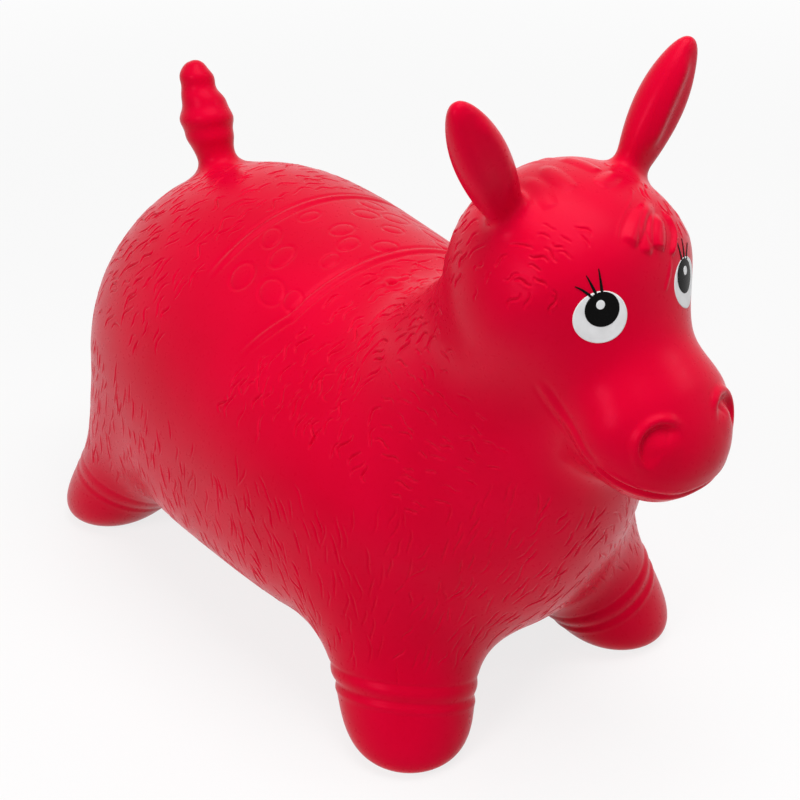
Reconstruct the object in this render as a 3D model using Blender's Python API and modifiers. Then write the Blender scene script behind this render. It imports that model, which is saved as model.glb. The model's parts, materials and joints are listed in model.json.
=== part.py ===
"""Hollow inflated ride-on donkey: one moulded skin in its natural sections, an air valve and printed eyes."""

import math

import bmesh
import bpy
import numpy as np
from mathutils import Matrix, Vector

COLLECTION_NAME = "bouncy_ride_on_animal"
CUTTER_COLLECTION_NAME = "cutters"

# Moulded skin and the clearances between its sections
SKIN_WALL = 0.0018
SEAM_GAP = 0.0003
FLEX_CLEARANCE = 0.0005
OVERRUN = 0.004
MERGE_DISTANCE = 0.00002

# Barrel of the body, along Y with the rump at +Y
TORSO_HALF_LENGTH = 0.228
TORSO_SETBACK = 0.061
TORSO_AXIS_HEIGHT = 0.150
TORSO_HALF_WIDTH = 0.150
TORSO_RISE = 0.163
BELLY_HEIGHT = 0.028
TORSO_DROP = TORSO_AXIS_HEIGHT - BELLY_HEIGHT
TORSO_WIDTH_SHARES = ((-1.0, 1.0), (-0.45, 1.0), (0.15, 0.99), (0.65, 0.96), (1.0, 0.96))
TORSO_RISE_SHARES = ((-1.0, 0.75), (-0.45, 0.76), (0.0, 0.90), (0.45, 1.0), (1.0, 0.97))
EVEN_SHARES = ((-1.0, 1.0), (1.0, 1.0))

# Neck, a stout column that leans forward, set back from the front end of the barrel
NECK_HALF_LENGTH = 0.135
NECK_HALF_WIDTH = 0.083
NECK_HALF_DEPTH = 0.094
NECK_SETBACK = 0.041
NECK_MIDDLE_Y = TORSO_SETBACK - TORSO_HALF_LENGTH + NECK_SETBACK
NECK_MIDDLE_HEIGHT = 0.210
NECK_TILT = math.radians(78.0)
NECK_BLEND_RADIUS = 0.055

# The neck's section of the skin lies between two level cuts, at the withers and at the throat
NECK_CUT_LEAN = math.radians(31.0)
WITHERS_CUT_SHARE = 0.064
THROAT_CUT_SHARE = 0.534

# Head, from the poll to the nose, reaching ahead of the neck, with its face sloping down
HEAD_HALF_LENGTH = 0.113
HEAD_REACH = 0.072
HEAD_MIDDLE_Y = NECK_MIDDLE_Y - HEAD_REACH
HEAD_MIDDLE_HEIGHT = 0.312
HEAD_SLOPE = math.radians(42.0)
HEAD_HALF_WIDTH = 0.082
HEAD_RISE = 0.069
HEAD_DROP = 0.075
HEAD_BLEND_RADIUS = 0.030
HEAD_WIDTH_SHARES = ((-1.0, 1.0), (-0.25, 1.0), (0.24, 0.64), (0.57, 0.75), (1.0, 0.76))
HEAD_RISE_SHARES = ((-1.0, 1.0), (-0.25, 1.0), (0.24, 0.63), (0.57, 0.64), (1.0, 0.64))
HEAD_DROP_SHARES = ((-1.0, 1.0), (-0.25, 1.0), (0.24, 0.83), (0.57, 0.63), (1.0, 0.62))

# Legs: short stubs that splay outwards, each ending in a hoof with a flat sole
FOOT_RADIUS = 0.0485
FOOT_OUT_SHARE = 0.7033
FRONT_FOOT_SHARE = -0.8882
REAR_FOOT_SHARE = 0.8509
LEG_HALF_HEIGHT = 0.075
LEG_LEAN_IN_SHARE = 0.28
LEG_LEAN_ALONG_SHARE = 0.46
LEG_BLEND_RADIUS = 0.040
HOOF_HEIGHT = 0.036
HIP_HEIGHT = 0.066
HIP_LEAN_IN_SHARE = 0.625
HIP_LEAN_ALONG_SHARE = 0.4375
SOLE_THICKNESS = 0.0035
SOLE_TRIM = 0.0006
SOLE_FLAT_DEPTH = 0.0015

# Ears, which the child holds
EAR_LENGTH = 0.0905
EAR_HALF_WIDTH = 0.0168
EAR_FRONT_DEPTH = 0.0122
EAR_BACK_DEPTH = 0.0162
EAR_ROOT_HALF_WIDTH = 0.0150
EAR_ROOT_RADIUS = 0.0115
EAR_SINK_SHARE = 0.35
EAR_ALONG_SHARE = -0.70
EAR_AROUND = math.radians(41.0)
EAR_SPLAY = math.radians(30.0)
EAR_LEAN_FORWARD = math.radians(2.0)
EAR_WIDTH_SHARES = ((-1.0, 0.82), (-0.5, 0.93), (0.0, 1.0), (0.4, 0.98), (1.0, 0.82))
EAR_DEPTH_SHARES = ((-1.0, 0.55), (-0.5, 0.82), (0.0, 1.0), (0.4, 1.0), (1.0, 0.85))
EAR_AIR_WAY_RADIUS = 0.005

# Tail, a twisted lock
TAIL_LENGTH = 0.091
TAIL_RADIUS = 0.0190
TAIL_ROOT_RADIUS = 0.0172
TAIL_SINK_SHARE = 0.35
TAIL_PLACE_SHARE = 0.6886
TAIL_LEAN_BACK = math.radians(21.0)
TAIL_SIZE_SHARES = (
    (-1.0, 0.76), (-0.6, 0.80), (-0.2, 0.97), (0.15, 1.02), (0.5, 0.72), (0.78, 0.80), (1.0, 0.84))
TAIL_TWIST = math.radians(420.0)
TAIL_LOBE_SHARE = 0.12
TAIL_AIR_WAY_RADIUS = 0.005

# Air valve in the belly
VALVE_PLACE_SHARE = 0.5658
SEAT_RADIUS = 0.0110
SEAT_FLANGE_RADIUS = 0.0160
SEAT_FLANGE_THICKNESS = 0.0016
SEAT_DEPTH = 0.0110
SEAT_LIP = 0.0004
BORE_RADIUS = 0.0042
PLUG_TAPER = 0.0006
PLUG_LENGTH = 0.0150
PLUG_FLANGE_RADIUS = 0.0085
PLUG_FLANGE_THICKNESS = 0.0018
PLUG_RUNNING_CLEARANCE = 0.0003
PULL_RING_RADIUS = 0.0040
PULL_RING_THICKNESS = 0.0010

# Printed eyes, thin layers that lie on the face
EYE_ALONG_SHARE = 0.02
EYE_AROUND = math.radians(56.0)
EYE_HALF_WIDTH = 0.0175
EYE_HALF_HEIGHT = 0.0168
PUPIL_HALF_WIDTH = 0.0125
PUPIL_HALF_HEIGHT = 0.0105
PUPIL_RAISE = 0.0042
CATCHLIGHT_RADIUS = 0.0028
CATCHLIGHT_RAISE = 0.0088
PRINT_THICKNESS = 0.0005
LASH_LENGTH = 0.0130
LASH_HALF_WIDTH = 0.0009
LASH_TIP_SHARE = 0.35
LASH_FAN_ANGLES = (
    ("inner", math.radians(-2.0)),
    ("middle", math.radians(20.0)),
    ("outer", math.radians(42.0)),
)

# Fineness of the round forms
SKIN_FACE_LENGTH = 0.0175
SETTLING_ROUNDS = 4
FORM_SEGMENTS = 64
FORM_RINGS = 40
HOOF_SEGMENTS = 24
HOOF_RINGS = 20
LIMB_SEGMENTS = 20
LIMB_RINGS = 12
LIMB_HOLLOW_SEGMENTS = 16
LIMB_HOLLOW_RINGS = 10
TAIL_RINGS = 16
TURNED_STEPS = 24
PRINT_SEGMENTS = 20
PULL_RING_STEPS = 12
PULL_RING_SIDES = 6
FULL_SHARE = 1.0
NORMAL_STEP_SHARE = 0.001
TINY_SHARE = 1e-9

# Section shapes: 2 is a true ellipse and more is squarer
ROUND_POWER = 2.0
FULL_POWER = 2.1
BELLY_POWER = 2.8
TORSO_END_POWERS = (3.2, 3.2)
NECK_END_POWERS = (2.2, 2.2)
HEAD_END_POWERS = (2.5, 2.5)
LEG_END_POWERS = (5.0, 5.0)
EAR_FRONT_POWER = 2.5
EAR_END_POWERS = (6.0, 2.1)
TAIL_END_POWERS = (6.0, 2.2)

RED_PVC = (0.72, 0.010, 0.035, 1.0)
WHITE_INK = (0.88, 0.88, 0.88, 1.0)
BLACK_INK = (0.012, 0.012, 0.014, 1.0)
CLEAR_PVC = (0.80, 0.79, 0.74, 1.0)
ROUGHNESS = 0.3

SIDES = (("right", -1.0), ("left", 1.0))
ENDS = (("front", FRONT_FOOT_SHARE, -1.0), ("rear", REAR_FOOT_SHARE, 1.0))


def smooth_share(place, shares):
    """Value at a place on the smooth curve through a table of (place, value) shares."""
    if place <= shares[0][0]:
        return shares[0][1]
    if place >= shares[-1][0]:
        return shares[-1][1]
    last = len(shares) - 1
    slopes = []
    for index in range(len(shares)):
        before = shares[max(index - 1, 0)]
        after = shares[min(index + 1, last)]
        slopes.append((after[1] - before[1]) / (after[0] - before[0]))
    index = 0
    while place > shares[index + 1][0]:
        index += 1
    start, end = shares[index], shares[index + 1]
    span = end[0] - start[0]
    step = (place - start[0]) / span
    rise_in = (2 * step - 3) * step * step
    return (
        (1 + rise_in) * start[1]
        - rise_in * end[1]
        + ((step - 2) * step + 1) * step * span * slopes[index]
        + (step - 1) * step * step * span * slopes[index + 1]
    )


def shares_at(places, shares):
    """The same curve at many places."""
    if shares is EVEN_SHARES:
        return np.ones(len(places))
    return np.array([smooth_share(place, shares) for place in places])


def smooth_union(first, second, reach):
    """The nearer of two levels, with the corner between their surfaces filled over a reach."""
    share = np.clip(0.5 + 0.5 * (second - first) / reach, 0.0, 1.0)
    return second * (1.0 - share) + first * share - reach * share * (1.0 - share)


def end_size(place, end_powers):
    """How much of its full section a form keeps at a place: none at either end."""
    power = end_powers[0 if place < 0.0 else 1]
    return (1.0 - min(abs(place), 1.0) ** power) ** (1.0 / power)


class Form:
    """A rounded form with superelliptic sections along an axis, grown or shrunk by an even skin."""

    def __init__(self, middle, along, side, up, half_length, sizes, end_powers, powers, shares):
        self.middle = Vector(middle)
        self.along = Vector(along)
        self.side = Vector(side)
        self.up = Vector(up)
        self.half_length = half_length
        self.sizes = sizes
        self.end_powers = end_powers
        self.powers = powers
        self.shares = shares

    def point(self, place, across, upward, growth=0.0):
        """Surface point at a place from -1 to 1 along the axis, in the direction (across, upward)."""
        end = end_size(place, self.end_powers)
        half = 0 if upward >= 0.0 else 1
        width = self.sizes[0] * smooth_share(place, self.shares[0]) + growth
        height = self.sizes[1 + half] * smooth_share(place, self.shares[1 + half]) + growth
        power = 2.0 / self.powers[half]
        sideways = math.copysign(abs(across) ** power, across) * width * end
        upwards = math.copysign(abs(upward) ** power, upward) * height * end
        length = (self.half_length + growth) * place
        return self.middle + self.along * length + self.side * sideways + self.up * upwards

    def level(self, points):
        """How far points lie outside the form, less than zero inside it, and exact on its surface."""
        turn = np.linalg.inv(np.array((self.side, self.up, self.along)).T)
        across, upward, along = turn @ (points - np.array(self.middle)).T
        place = along / self.half_length
        half = np.where(upward >= 0.0, 0, 1)
        width = self.sizes[0] * shares_at(place, self.shares[0])
        heights = [self.sizes[1 + index] * shares_at(place, self.shares[1 + index]) for index in (0, 1)]
        height = np.choose(half, heights)
        power = np.choose(half, self.powers)
        end_power = self.end_powers[0]
        across_share = np.abs(across) / width + TINY_SHARE
        upward_share = np.abs(upward) / height + TINY_SHARE
        along_share = np.abs(place) + TINY_SHARE
        section = (across_share ** power + upward_share ** power) ** (1.0 / power)
        whole = (section ** end_power + along_share ** end_power) ** (1.0 / end_power)
        section_slope = (section / whole) ** (end_power - 1.0)
        across_slope = section_slope * (across_share / section) ** (power - 1.0) / width
        upward_slope = section_slope * (upward_share / section) ** (power - 1.0) / height
        along_slope = (along_share / whole) ** (end_power - 1.0) / self.half_length
        return (whole - 1.0) / np.sqrt(across_slope ** 2 + upward_slope ** 2 + along_slope ** 2)


def torso_form():
    return Form(
        (0.0, TORSO_SETBACK, TORSO_AXIS_HEIGHT), (0, 1, 0), (1, 0, 0), (0, 0, 1), TORSO_HALF_LENGTH,
        (TORSO_HALF_WIDTH, TORSO_RISE, TORSO_DROP), TORSO_END_POWERS, (ROUND_POWER, BELLY_POWER),
        (TORSO_WIDTH_SHARES, TORSO_RISE_SHARES, EVEN_SHARES))


def neck_form():
    along = Vector((0.0, -math.cos(NECK_TILT), math.sin(NECK_TILT)))
    upward = Vector((0.0, math.sin(NECK_TILT), math.cos(NECK_TILT)))
    return Form(
        (0.0, NECK_MIDDLE_Y, NECK_MIDDLE_HEIGHT), along, (1, 0, 0), upward, NECK_HALF_LENGTH,
        (NECK_HALF_WIDTH, NECK_HALF_DEPTH, NECK_HALF_DEPTH), NECK_END_POWERS,
        (FULL_POWER, FULL_POWER), (EVEN_SHARES, EVEN_SHARES, EVEN_SHARES))


def head_form():
    along = Vector((0.0, -math.cos(HEAD_SLOPE), -math.sin(HEAD_SLOPE)))
    upward = Vector((0.0, -math.sin(HEAD_SLOPE), math.cos(HEAD_SLOPE)))
    return Form(
        (0.0, HEAD_MIDDLE_Y, HEAD_MIDDLE_HEIGHT), along, (1, 0, 0), upward, HEAD_HALF_LENGTH,
        (HEAD_HALF_WIDTH, HEAD_RISE, HEAD_DROP), HEAD_END_POWERS, (FULL_POWER, FULL_POWER),
        (HEAD_WIDTH_SHARES, HEAD_RISE_SHARES, HEAD_DROP_SHARES))


def leg_axis(side_sign, end_sign):
    """Direction of a leg from its sole upwards, leaning to the middle of the body."""
    return Vector((-side_sign * LEG_LEAN_IN_SHARE, -end_sign * LEG_LEAN_ALONG_SHARE, 1.0))


def foot_place(side_sign, end_share):
    """Middle of a sole on the floor, at a share of the barrel's half length from its middle."""
    return Vector((side_sign * FOOT_OUT_SHARE * TORSO_HALF_WIDTH,
                   TORSO_SETBACK + end_share * TORSO_HALF_LENGTH, 0.0))


def leg_form(foot, axis):
    return Form(
        foot + axis * (LEG_HALF_HEIGHT - SOLE_TRIM), axis, (1, 0, 0), (0, 1, 0), LEG_HALF_HEIGHT,
        (FOOT_RADIUS, FOOT_RADIUS, FOOT_RADIUS), LEG_END_POWERS, (ROUND_POWER, ROUND_POWER),
        (EVEN_SHARES, EVEN_SHARES, EVEN_SHARES))


def ear_form():
    """An ear in its own frame: X across, Z to the tip, flatter in front at -Y."""
    sink = EAR_ROOT_RADIUS * EAR_SINK_SHARE
    half_length = (EAR_LENGTH + sink) / 2.0
    return Form(
        (0.0, 0.0, EAR_LENGTH - half_length), (0, 0, 1), (1, 0, 0), (0, 1, 0), half_length,
        (EAR_HALF_WIDTH, EAR_BACK_DEPTH, EAR_FRONT_DEPTH), EAR_END_POWERS,
        (ROUND_POWER, EAR_FRONT_POWER), (EAR_WIDTH_SHARES, EAR_DEPTH_SHARES, EAR_DEPTH_SHARES))


def surface_normal(form, place, angle):
    """Outward normal of a form at a place along it and an angle from its side direction."""
    turned = angle + NORMAL_STEP_SHARE
    here = form.point(place, math.cos(angle), math.sin(angle))
    ahead = form.point(place + NORMAL_STEP_SHARE, math.cos(angle), math.sin(angle))
    around = form.point(place, math.cos(turned), math.sin(turned))
    normal = (around - here).cross(ahead - here).normalized()
    outward = here - form.middle
    return normal if normal.dot(outward) > 0.0 else -normal


def add_object(name, mesh, collection, colour=None):
    """Link a mesh as a named object, with its own Principled material if it has a colour."""
    made = bpy.data.objects.new(name, mesh)
    collection.objects.link(made)
    if colour is not None:
        material = bpy.data.materials.new(name + "_finish")
        material.use_nodes = True
        shader = material.node_tree.nodes["Principled BSDF"]
        shader.inputs["Base Color"].default_value = colour
        shader.inputs["Roughness"].default_value = ROUGHNESS
        shader.inputs["Metallic"].default_value = 0.0
        material.diffuse_color = colour
        mesh.materials.append(material)
    return made


def finish_mesh(name, builder):
    """Make a mesh datablock from a bmesh, facing outwards and shaded smooth."""
    bmesh.ops.recalc_face_normals(builder, faces=builder.faces)
    if builder.calc_volume(signed=True) < 0.0:
        bmesh.ops.reverse_faces(builder, faces=builder.faces)
    mesh = bpy.data.meshes.new(name)
    builder.to_mesh(mesh)
    builder.free()
    mesh.shade_smooth()
    return mesh


def sphere_mesh(name, place_point, segments, rings):
    """A unit sphere whose points are moved onto a form: place_point takes (place, across, upward)."""
    builder = bmesh.new()
    bmesh.ops.create_uvsphere(builder, u_segments=segments, v_segments=rings, radius=FULL_SHARE)
    for vertex in builder.verts:
        radius = math.hypot(vertex.co.x, vertex.co.y)
        place = max(-1.0, min(1.0, vertex.co.z))
        if radius < MERGE_DISTANCE:
            vertex.co = place_point(math.copysign(1.0, place), 0.0, 0.0)
        else:
            vertex.co = place_point(place, vertex.co.x / radius, vertex.co.y / radius)
    return finish_mesh(name, builder)


def form_mesh(name, form, growth, segments, rings):
    return sphere_mesh(
        name, lambda place, across, upward: form.point(place, across, upward, growth), segments, rings)


def turned_object(name, profile, frame, collection, colour):
    """A profile of (radius, height) points turned about its axis, ending on the axis."""
    builder = bmesh.new()
    corners = [builder.verts.new((radius, 0.0, height)) for radius, height in profile]
    for start, end in zip(corners, corners[1:]):
        builder.edges.new((start, end))
    mesh = bpy.data.meshes.new(name)
    builder.to_mesh(mesh)
    builder.free()
    made = add_object(name, mesh, collection, colour)
    made.matrix_world = frame
    screw = made.modifiers.new("turn", "SCREW")
    screw.steps = TURNED_STEPS
    screw.render_steps = TURNED_STEPS
    screw.use_merge_vertices = True
    screw.merge_threshold = MERGE_DISTANCE
    screw.use_smooth_shade = True
    return made


def frame_at(origin, axis, side):
    """Matrix with its Z along axis and its X as near as it can be to side."""
    upward = Vector(axis).normalized()
    across = (Vector(side) - upward * upward.dot(Vector(side))).normalized()
    forward = upward.cross(across)
    turn = Matrix((across, forward, upward)).transposed().to_4x4()
    return Matrix.Translation(origin) @ turn


def boolean(target, operation, tool):
    """Cut or join a target with a tool, exactly."""
    change = target.modifiers.new(operation.lower() + "_" + tool.name, "BOOLEAN")
    change.operation = operation
    change.solver = "EXACT"
    change.object = tool


def make_cutter(name, mesh, cutters):
    """A shape that only cuts or bounds others."""
    cutter = add_object(name, mesh, cutters)
    cutter.hide_render = True
    cutter.display_type = "WIRE"
    return cutter


def box_cutter(name, low, high, frame, cutters):
    """A box between two corners of a frame."""
    builder = bmesh.new()
    bmesh.ops.create_cube(builder, size=FULL_SHARE)
    middle = (Vector(low) + Vector(high)) / 2.0
    size = Vector(high) - Vector(low)
    for vertex in builder.verts:
        vertex.co = Vector(a * b for a, b in zip(vertex.co, size)) + middle
    cutter = make_cutter(name, finish_mesh(name, builder), cutters)
    cutter.matrix_world = frame
    return cutter


def oval_cutter(name, frame, half_width, half_height, depth, cutters):
    """An oval prism centred on a frame, along the frame's Z."""
    builder = bmesh.new()
    bmesh.ops.create_cone(builder, cap_ends=True, segments=PRINT_SEGMENTS, radius1=FULL_SHARE,
                          radius2=FULL_SHARE, depth=FULL_SHARE)
    for vertex in builder.verts:
        vertex.co = Vector((vertex.co.x * half_width, vertex.co.y * half_height, vertex.co.z * depth))
    cutter = make_cutter(name, finish_mesh(name, builder), cutters)
    cutter.matrix_world = frame
    return cutter


class Skin:
    """The inflated skin without its ears and tail, as one smooth surface over all its forms."""

    def __init__(self, cutters):
        self.torso, self.neck, self.head = torso_form(), neck_form(), head_form()
        self.legs = [leg_form(foot_place(side_sign, end_share), leg_axis(side_sign, end_sign))
                     for _, side_sign in SIDES for _, end_share, end_sign in ENDS]
        self.whole = SettledMesh(self.even_mesh(cutters), self)

    def even_mesh(self, cutters):
        """The forms melted into one closed mesh with even faces."""
        builder = bmesh.new()
        for form in (self.torso, self.neck, self.head, *self.legs):
            mesh = form_mesh("form", form, 0.0, FORM_SEGMENTS, FORM_RINGS)
            builder.from_mesh(mesh)
            bpy.data.meshes.remove(mesh)
        forms = make_cutter("skin_forms", finish_mesh("skin_forms", builder), cutters)
        remesh = forms.modifiers.new("even_faces", "REMESH")
        remesh.mode = "VOXEL"
        remesh.voxel_size = SKIN_FACE_LENGTH
        bpy.context.view_layer.update()
        melted = forms.evaluated_get(bpy.context.evaluated_depsgraph_get())
        mesh = bpy.data.meshes.new_from_object(melted)
        bpy.data.objects.remove(forms)
        builder = bmesh.new()
        builder.from_mesh(mesh)
        bmesh.ops.triangulate(builder, faces=builder.faces)
        builder.to_mesh(mesh)
        builder.free()
        return mesh

    def level(self, points):
        """How far points lie outside the skin, with its creases filled."""
        level = smooth_union(self.torso.level(points), self.neck.level(points), NECK_BLEND_RADIUS)
        level = smooth_union(level, self.head.level(points), HEAD_BLEND_RADIUS)
        nearest_leg = np.minimum.reduce([leg.level(points) for leg in self.legs])
        return smooth_union(level, nearest_leg, LEG_BLEND_RADIUS)

    def slopes(self, points):
        """The direction and steepness in which the level rises."""
        here = self.level(points)
        step = NORMAL_STEP_SHARE * SKIN_FACE_LENGTH
        return np.stack([(self.level(points + step * axis) - here) / step for axis in np.eye(3)], axis=1)


class SettledMesh:
    """A closed mesh whose points are moved onto the skin, with flat soles."""

    def __init__(self, mesh, skin):
        points = np.array([vertex.co for vertex in mesh.vertices])
        for _ in range(SETTLING_ROUNDS):
            slopes = skin.slopes(points)
            steps = skin.level(points) / (slopes ** 2).sum(axis=1)
            points = points - slopes * steps[:, None]
        slopes = skin.slopes(points)
        points[points[:, 2] < SOLE_FLAT_DEPTH, 2] = -SOLE_TRIM
        self.mesh = mesh
        self.points = points
        self.normals = slopes / np.linalg.norm(slopes, axis=1)[:, None]

    def grown(self, name, growth=0.0):
        """A copy of the mesh, moved outwards by a growth."""
        mesh = self.mesh.copy()
        mesh.name = name
        mesh.vertices.foreach_set("co", (self.points + growth * self.normals).ravel())
        mesh.update()
        mesh.shade_smooth()
        return mesh


def neck_cut(share):
    """Frame on a cut through the neck, with its Z up the neck."""
    upward = Vector((0.0, -math.sin(NECK_CUT_LEAN), math.cos(NECK_CUT_LEAN)))
    middle = Vector((0.0, NECK_MIDDLE_Y, NECK_MIDDLE_HEIGHT))
    return frame_at(middle + upward * (share * NECK_HALF_LENGTH), upward, (1, 0, 0))


def blocks_at(name, frame, reach, cutters):
    """Two blocks that bound a cut: below it, with the gap, and above it."""
    below = box_cutter(name + "_below", (-reach, -reach, -reach), (reach, reach, SEAM_GAP), frame, cutters)
    above = box_cutter(name + "_above", (-reach, -reach, 0.0), (reach, reach, reach), frame, cutters)
    return below, above


def make_skins(skin, parts, cutters):
    """The torso, neck, head and legs: shells that the cuts divide at the skin's natural necks."""
    hollow = make_cutter("skin_hollow", skin.whole.grown("skin_hollow", -SKIN_WALL), cutters)
    reach = 3.0 * TORSO_HALF_LENGTH
    below_withers, above_withers = blocks_at("withers", neck_cut(WITHERS_CUT_SHARE), reach, cutters)
    below_throat, above_throat = blocks_at("throat", neck_cut(THROAT_CUT_SHARE), reach, cutters)

    torso_object = add_object("torso_skin", skin.whole.grown("torso_skin"), parts, RED_PVC)
    neck_object = add_object("neck_skin", skin.whole.grown("neck_skin"), parts, RED_PVC)
    head_object = add_object("head_skin", skin.whole.grown("head_skin"), parts, RED_PVC)
    for made, tools in ((torso_object, (above_withers, hollow)),
                        (neck_object, (below_withers, above_throat, hollow)),
                        (head_object, (below_throat, hollow))):
        for tool in tools:
            boolean(made, "DIFFERENCE", tool)

    for side, side_sign in SIDES:
        for end, end_share, end_sign in ENDS:
            foot = foot_place(side_sign, end_share)
            make_leg(end + "_" + side, skin, hollow, foot, side_sign, end_sign, torso_object, parts, cutters)
    return torso_object, head_object, below_throat


def foot_mesh(form, top):
    """The part of a leg's form below a point of its axis, closed across the cut."""
    mesh = form_mesh("foot", form, 0.0, HOOF_SEGMENTS, HOOF_RINGS)
    builder = bmesh.new()
    builder.from_mesh(mesh)
    everything = builder.verts[:] + builder.edges[:] + builder.faces[:]
    cut = bmesh.ops.bisect_plane(builder, geom=everything, plane_co=top, plane_no=form.along,
                                 clear_outer=True)
    rim = [item for item in cut["geom_cut"] if isinstance(item, bmesh.types.BMEdge)]
    bmesh.ops.holes_fill(builder, edges=rim)
    bmesh.ops.triangulate(builder, faces=builder.faces)
    builder.to_mesh(mesh)
    builder.free()
    return mesh


def make_leg(name, skin, hollow, foot, side_sign, end_sign, torso_object, parts, cutters):
    """One leg: a short sleeve that flexes, above a hoof that it lets move up."""
    reach = 2.0 * FOOT_RADIUS
    axis = leg_axis(side_sign, end_sign)
    upward = Vector((-side_sign * HIP_LEAN_IN_SHARE, -end_sign * HIP_LEAN_ALONG_SHARE, 1.0)).normalized()
    hip = frame_at(foot + upward * HIP_HEIGHT, upward, (1, 0, 0))
    coronet = frame_at(foot + axis * HOOF_HEIGHT, axis, (1, 0, 0))
    standing = Matrix.Translation(foot)
    deepest = (-reach, -reach, -reach)
    leg_space = box_cutter(name + "_leg_space", deepest, (reach, reach, SEAM_GAP), hip, cutters)
    leg_block = box_cutter(name + "_leg_block", deepest, (reach, reach, 0.0), hip, cutters)
    below, above = blocks_at(name + "_coronet", coronet, reach, cutters)
    floor = box_cutter(name + "_floor", deepest, (reach, reach, 0.0), standing, cutters)
    sole = box_cutter(name + "_sole", deepest, (reach, reach, SOLE_THICKNESS), standing, cutters)
    boolean(torso_object, "DIFFERENCE", leg_space)

    sleeve = add_object(name + "_leg", skin.whole.grown(name + "_leg"), parts, RED_PVC)
    boolean(sleeve, "INTERSECT", leg_block)
    for tool in (below, hollow):
        boolean(sleeve, "DIFFERENCE", tool)

    hoof_skin = SettledMesh(foot_mesh(leg_form(foot, axis), foot + axis * (2.0 * HOOF_HEIGHT)), skin)
    room = make_cutter(name + "_hoof_room", hoof_skin.grown(name + "_hoof_room", -SKIN_WALL), cutters)
    boolean(room, "DIFFERENCE", sole)
    hoof_mesh = hoof_skin.grown(name + "_hoof")
    hoof_mesh.transform(Matrix.Translation(-foot))
    hoof = add_object(name + "_hoof", hoof_mesh, parts, RED_PVC)
    hoof.matrix_world = standing
    for tool in (above, floor, room):
        boolean(hoof, "DIFFERENCE", tool)


def root_mesh(name, half_width, radius, growth):
    """An oval root, round about the hinge axis that lies along its X."""
    def place_point(place, across, upward):
        around = (radius + growth) * math.sqrt(max(0.0, 1.0 - place * place))
        return Vector(((half_width + growth) * place, around * across, around * upward))
    return sphere_mesh(name, place_point, LIMB_HOLLOW_SEGMENTS, LIMB_RINGS)


def flexing_lock(name, frame, outer_mesh, hollow_mesh, root_sizes, air_way_radius, body, parts, cutters):
    """A hollow ear or tail whose root turns in a socket cut in the body that carries it."""
    lock = add_object(name, outer_mesh, parts, RED_PVC)
    lock.matrix_world = frame
    root = make_cutter(name + "_root", root_mesh(name + "_root", *root_sizes, 0.0), cutters)
    socket = make_cutter(
        name + "_socket", root_mesh(name + "_socket", *root_sizes, FLEX_CLEARANCE), cutters)
    hollow = make_cutter(name + "_hollow", hollow_mesh, cutters)
    for placed in (root, socket, hollow):
        placed.matrix_world = frame
    air_way = oval_cutter(name + "_air_way", frame, air_way_radius, air_way_radius,
                          2.0 * (root_sizes[1] + OVERRUN), cutters)
    boolean(lock, "UNION", root)
    boolean(lock, "DIFFERENCE", hollow)
    boolean(lock, "DIFFERENCE", air_way)
    boolean(body, "DIFFERENCE", socket)


def make_ear(name, side_sign, head, head_object, parts, cutters):
    """One ear on an oval root in the side of the poll."""
    place = head.point(EAR_ALONG_SHARE, side_sign * math.cos(EAR_AROUND), math.sin(EAR_AROUND))
    direction = Vector((side_sign * math.sin(EAR_SPLAY), -math.sin(EAR_LEAN_FORWARD),
                        math.cos(EAR_SPLAY)))
    blade = ear_form()
    flexing_lock(
        name, frame_at(place, direction, (1, 0, 0)),
        form_mesh(name, blade, 0.0, LIMB_SEGMENTS, LIMB_RINGS),
        form_mesh(name + "_hollow", blade, -SKIN_WALL, LIMB_HOLLOW_SEGMENTS, LIMB_HOLLOW_RINGS),
        (EAR_ROOT_HALF_WIDTH, EAR_ROOT_RADIUS), EAR_AIR_WAY_RADIUS, head_object, parts, cutters)


def tail_point(place, across, upward, growth):
    """The tail in its own frame: a twisted lock along Z with a rounded tip."""
    sink = TAIL_ROOT_RADIUS * TAIL_SINK_SHARE
    half_length = (TAIL_LENGTH + sink) / 2.0
    climb = (place + 1.0) / 2.0
    turned = math.atan2(upward, across) - TAIL_TWIST * climb
    lobe = 1.0 + TAIL_LOBE_SHARE * min(1.0, climb / TAIL_LOBE_SHARE) * math.cos(2.0 * turned)
    radius = TAIL_RADIUS * smooth_share(place, TAIL_SIZE_SHARES) * lobe + growth
    radius *= end_size(place, TAIL_END_POWERS)
    height = TAIL_LENGTH - half_length + (half_length + growth) * place
    return Vector((radius * across, radius * upward, height))


def torso_profile(place, height_sign):
    """Point and outward normal on the torso's middle line, above (+1) or below (-1)."""
    form = torso_form()
    angle = height_sign * math.pi / 2.0
    return form.point(place, 0.0, height_sign), surface_normal(form, place, angle)


def make_tail(torso_object, parts, cutters):
    """The tail on a ball root in the top of the rump."""
    place, _ = torso_profile(TAIL_PLACE_SHARE, 1.0)
    direction = Vector((0.0, math.sin(TAIL_LEAN_BACK), math.cos(TAIL_LEAN_BACK)))
    outer = sphere_mesh("tail", lambda *spot: tail_point(*spot, 0.0), LIMB_SEGMENTS, TAIL_RINGS)
    hollow = sphere_mesh("tail_hollow", lambda *spot: tail_point(*spot, -SKIN_WALL),
                         LIMB_HOLLOW_SEGMENTS, LIMB_RINGS)
    flexing_lock(
        "tail", frame_at(place, direction, (1, 0, 0)), outer, hollow,
        (TAIL_ROOT_RADIUS, TAIL_ROOT_RADIUS), TAIL_AIR_WAY_RADIUS, torso_object, parts, cutters)


def valve_frame():
    """Frame on the belly with its Z pointing out of the valve."""
    place, normal = torso_profile(VALVE_PLACE_SHARE, -1.0)
    return frame_at(place, normal, (1, 0, 0))


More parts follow.
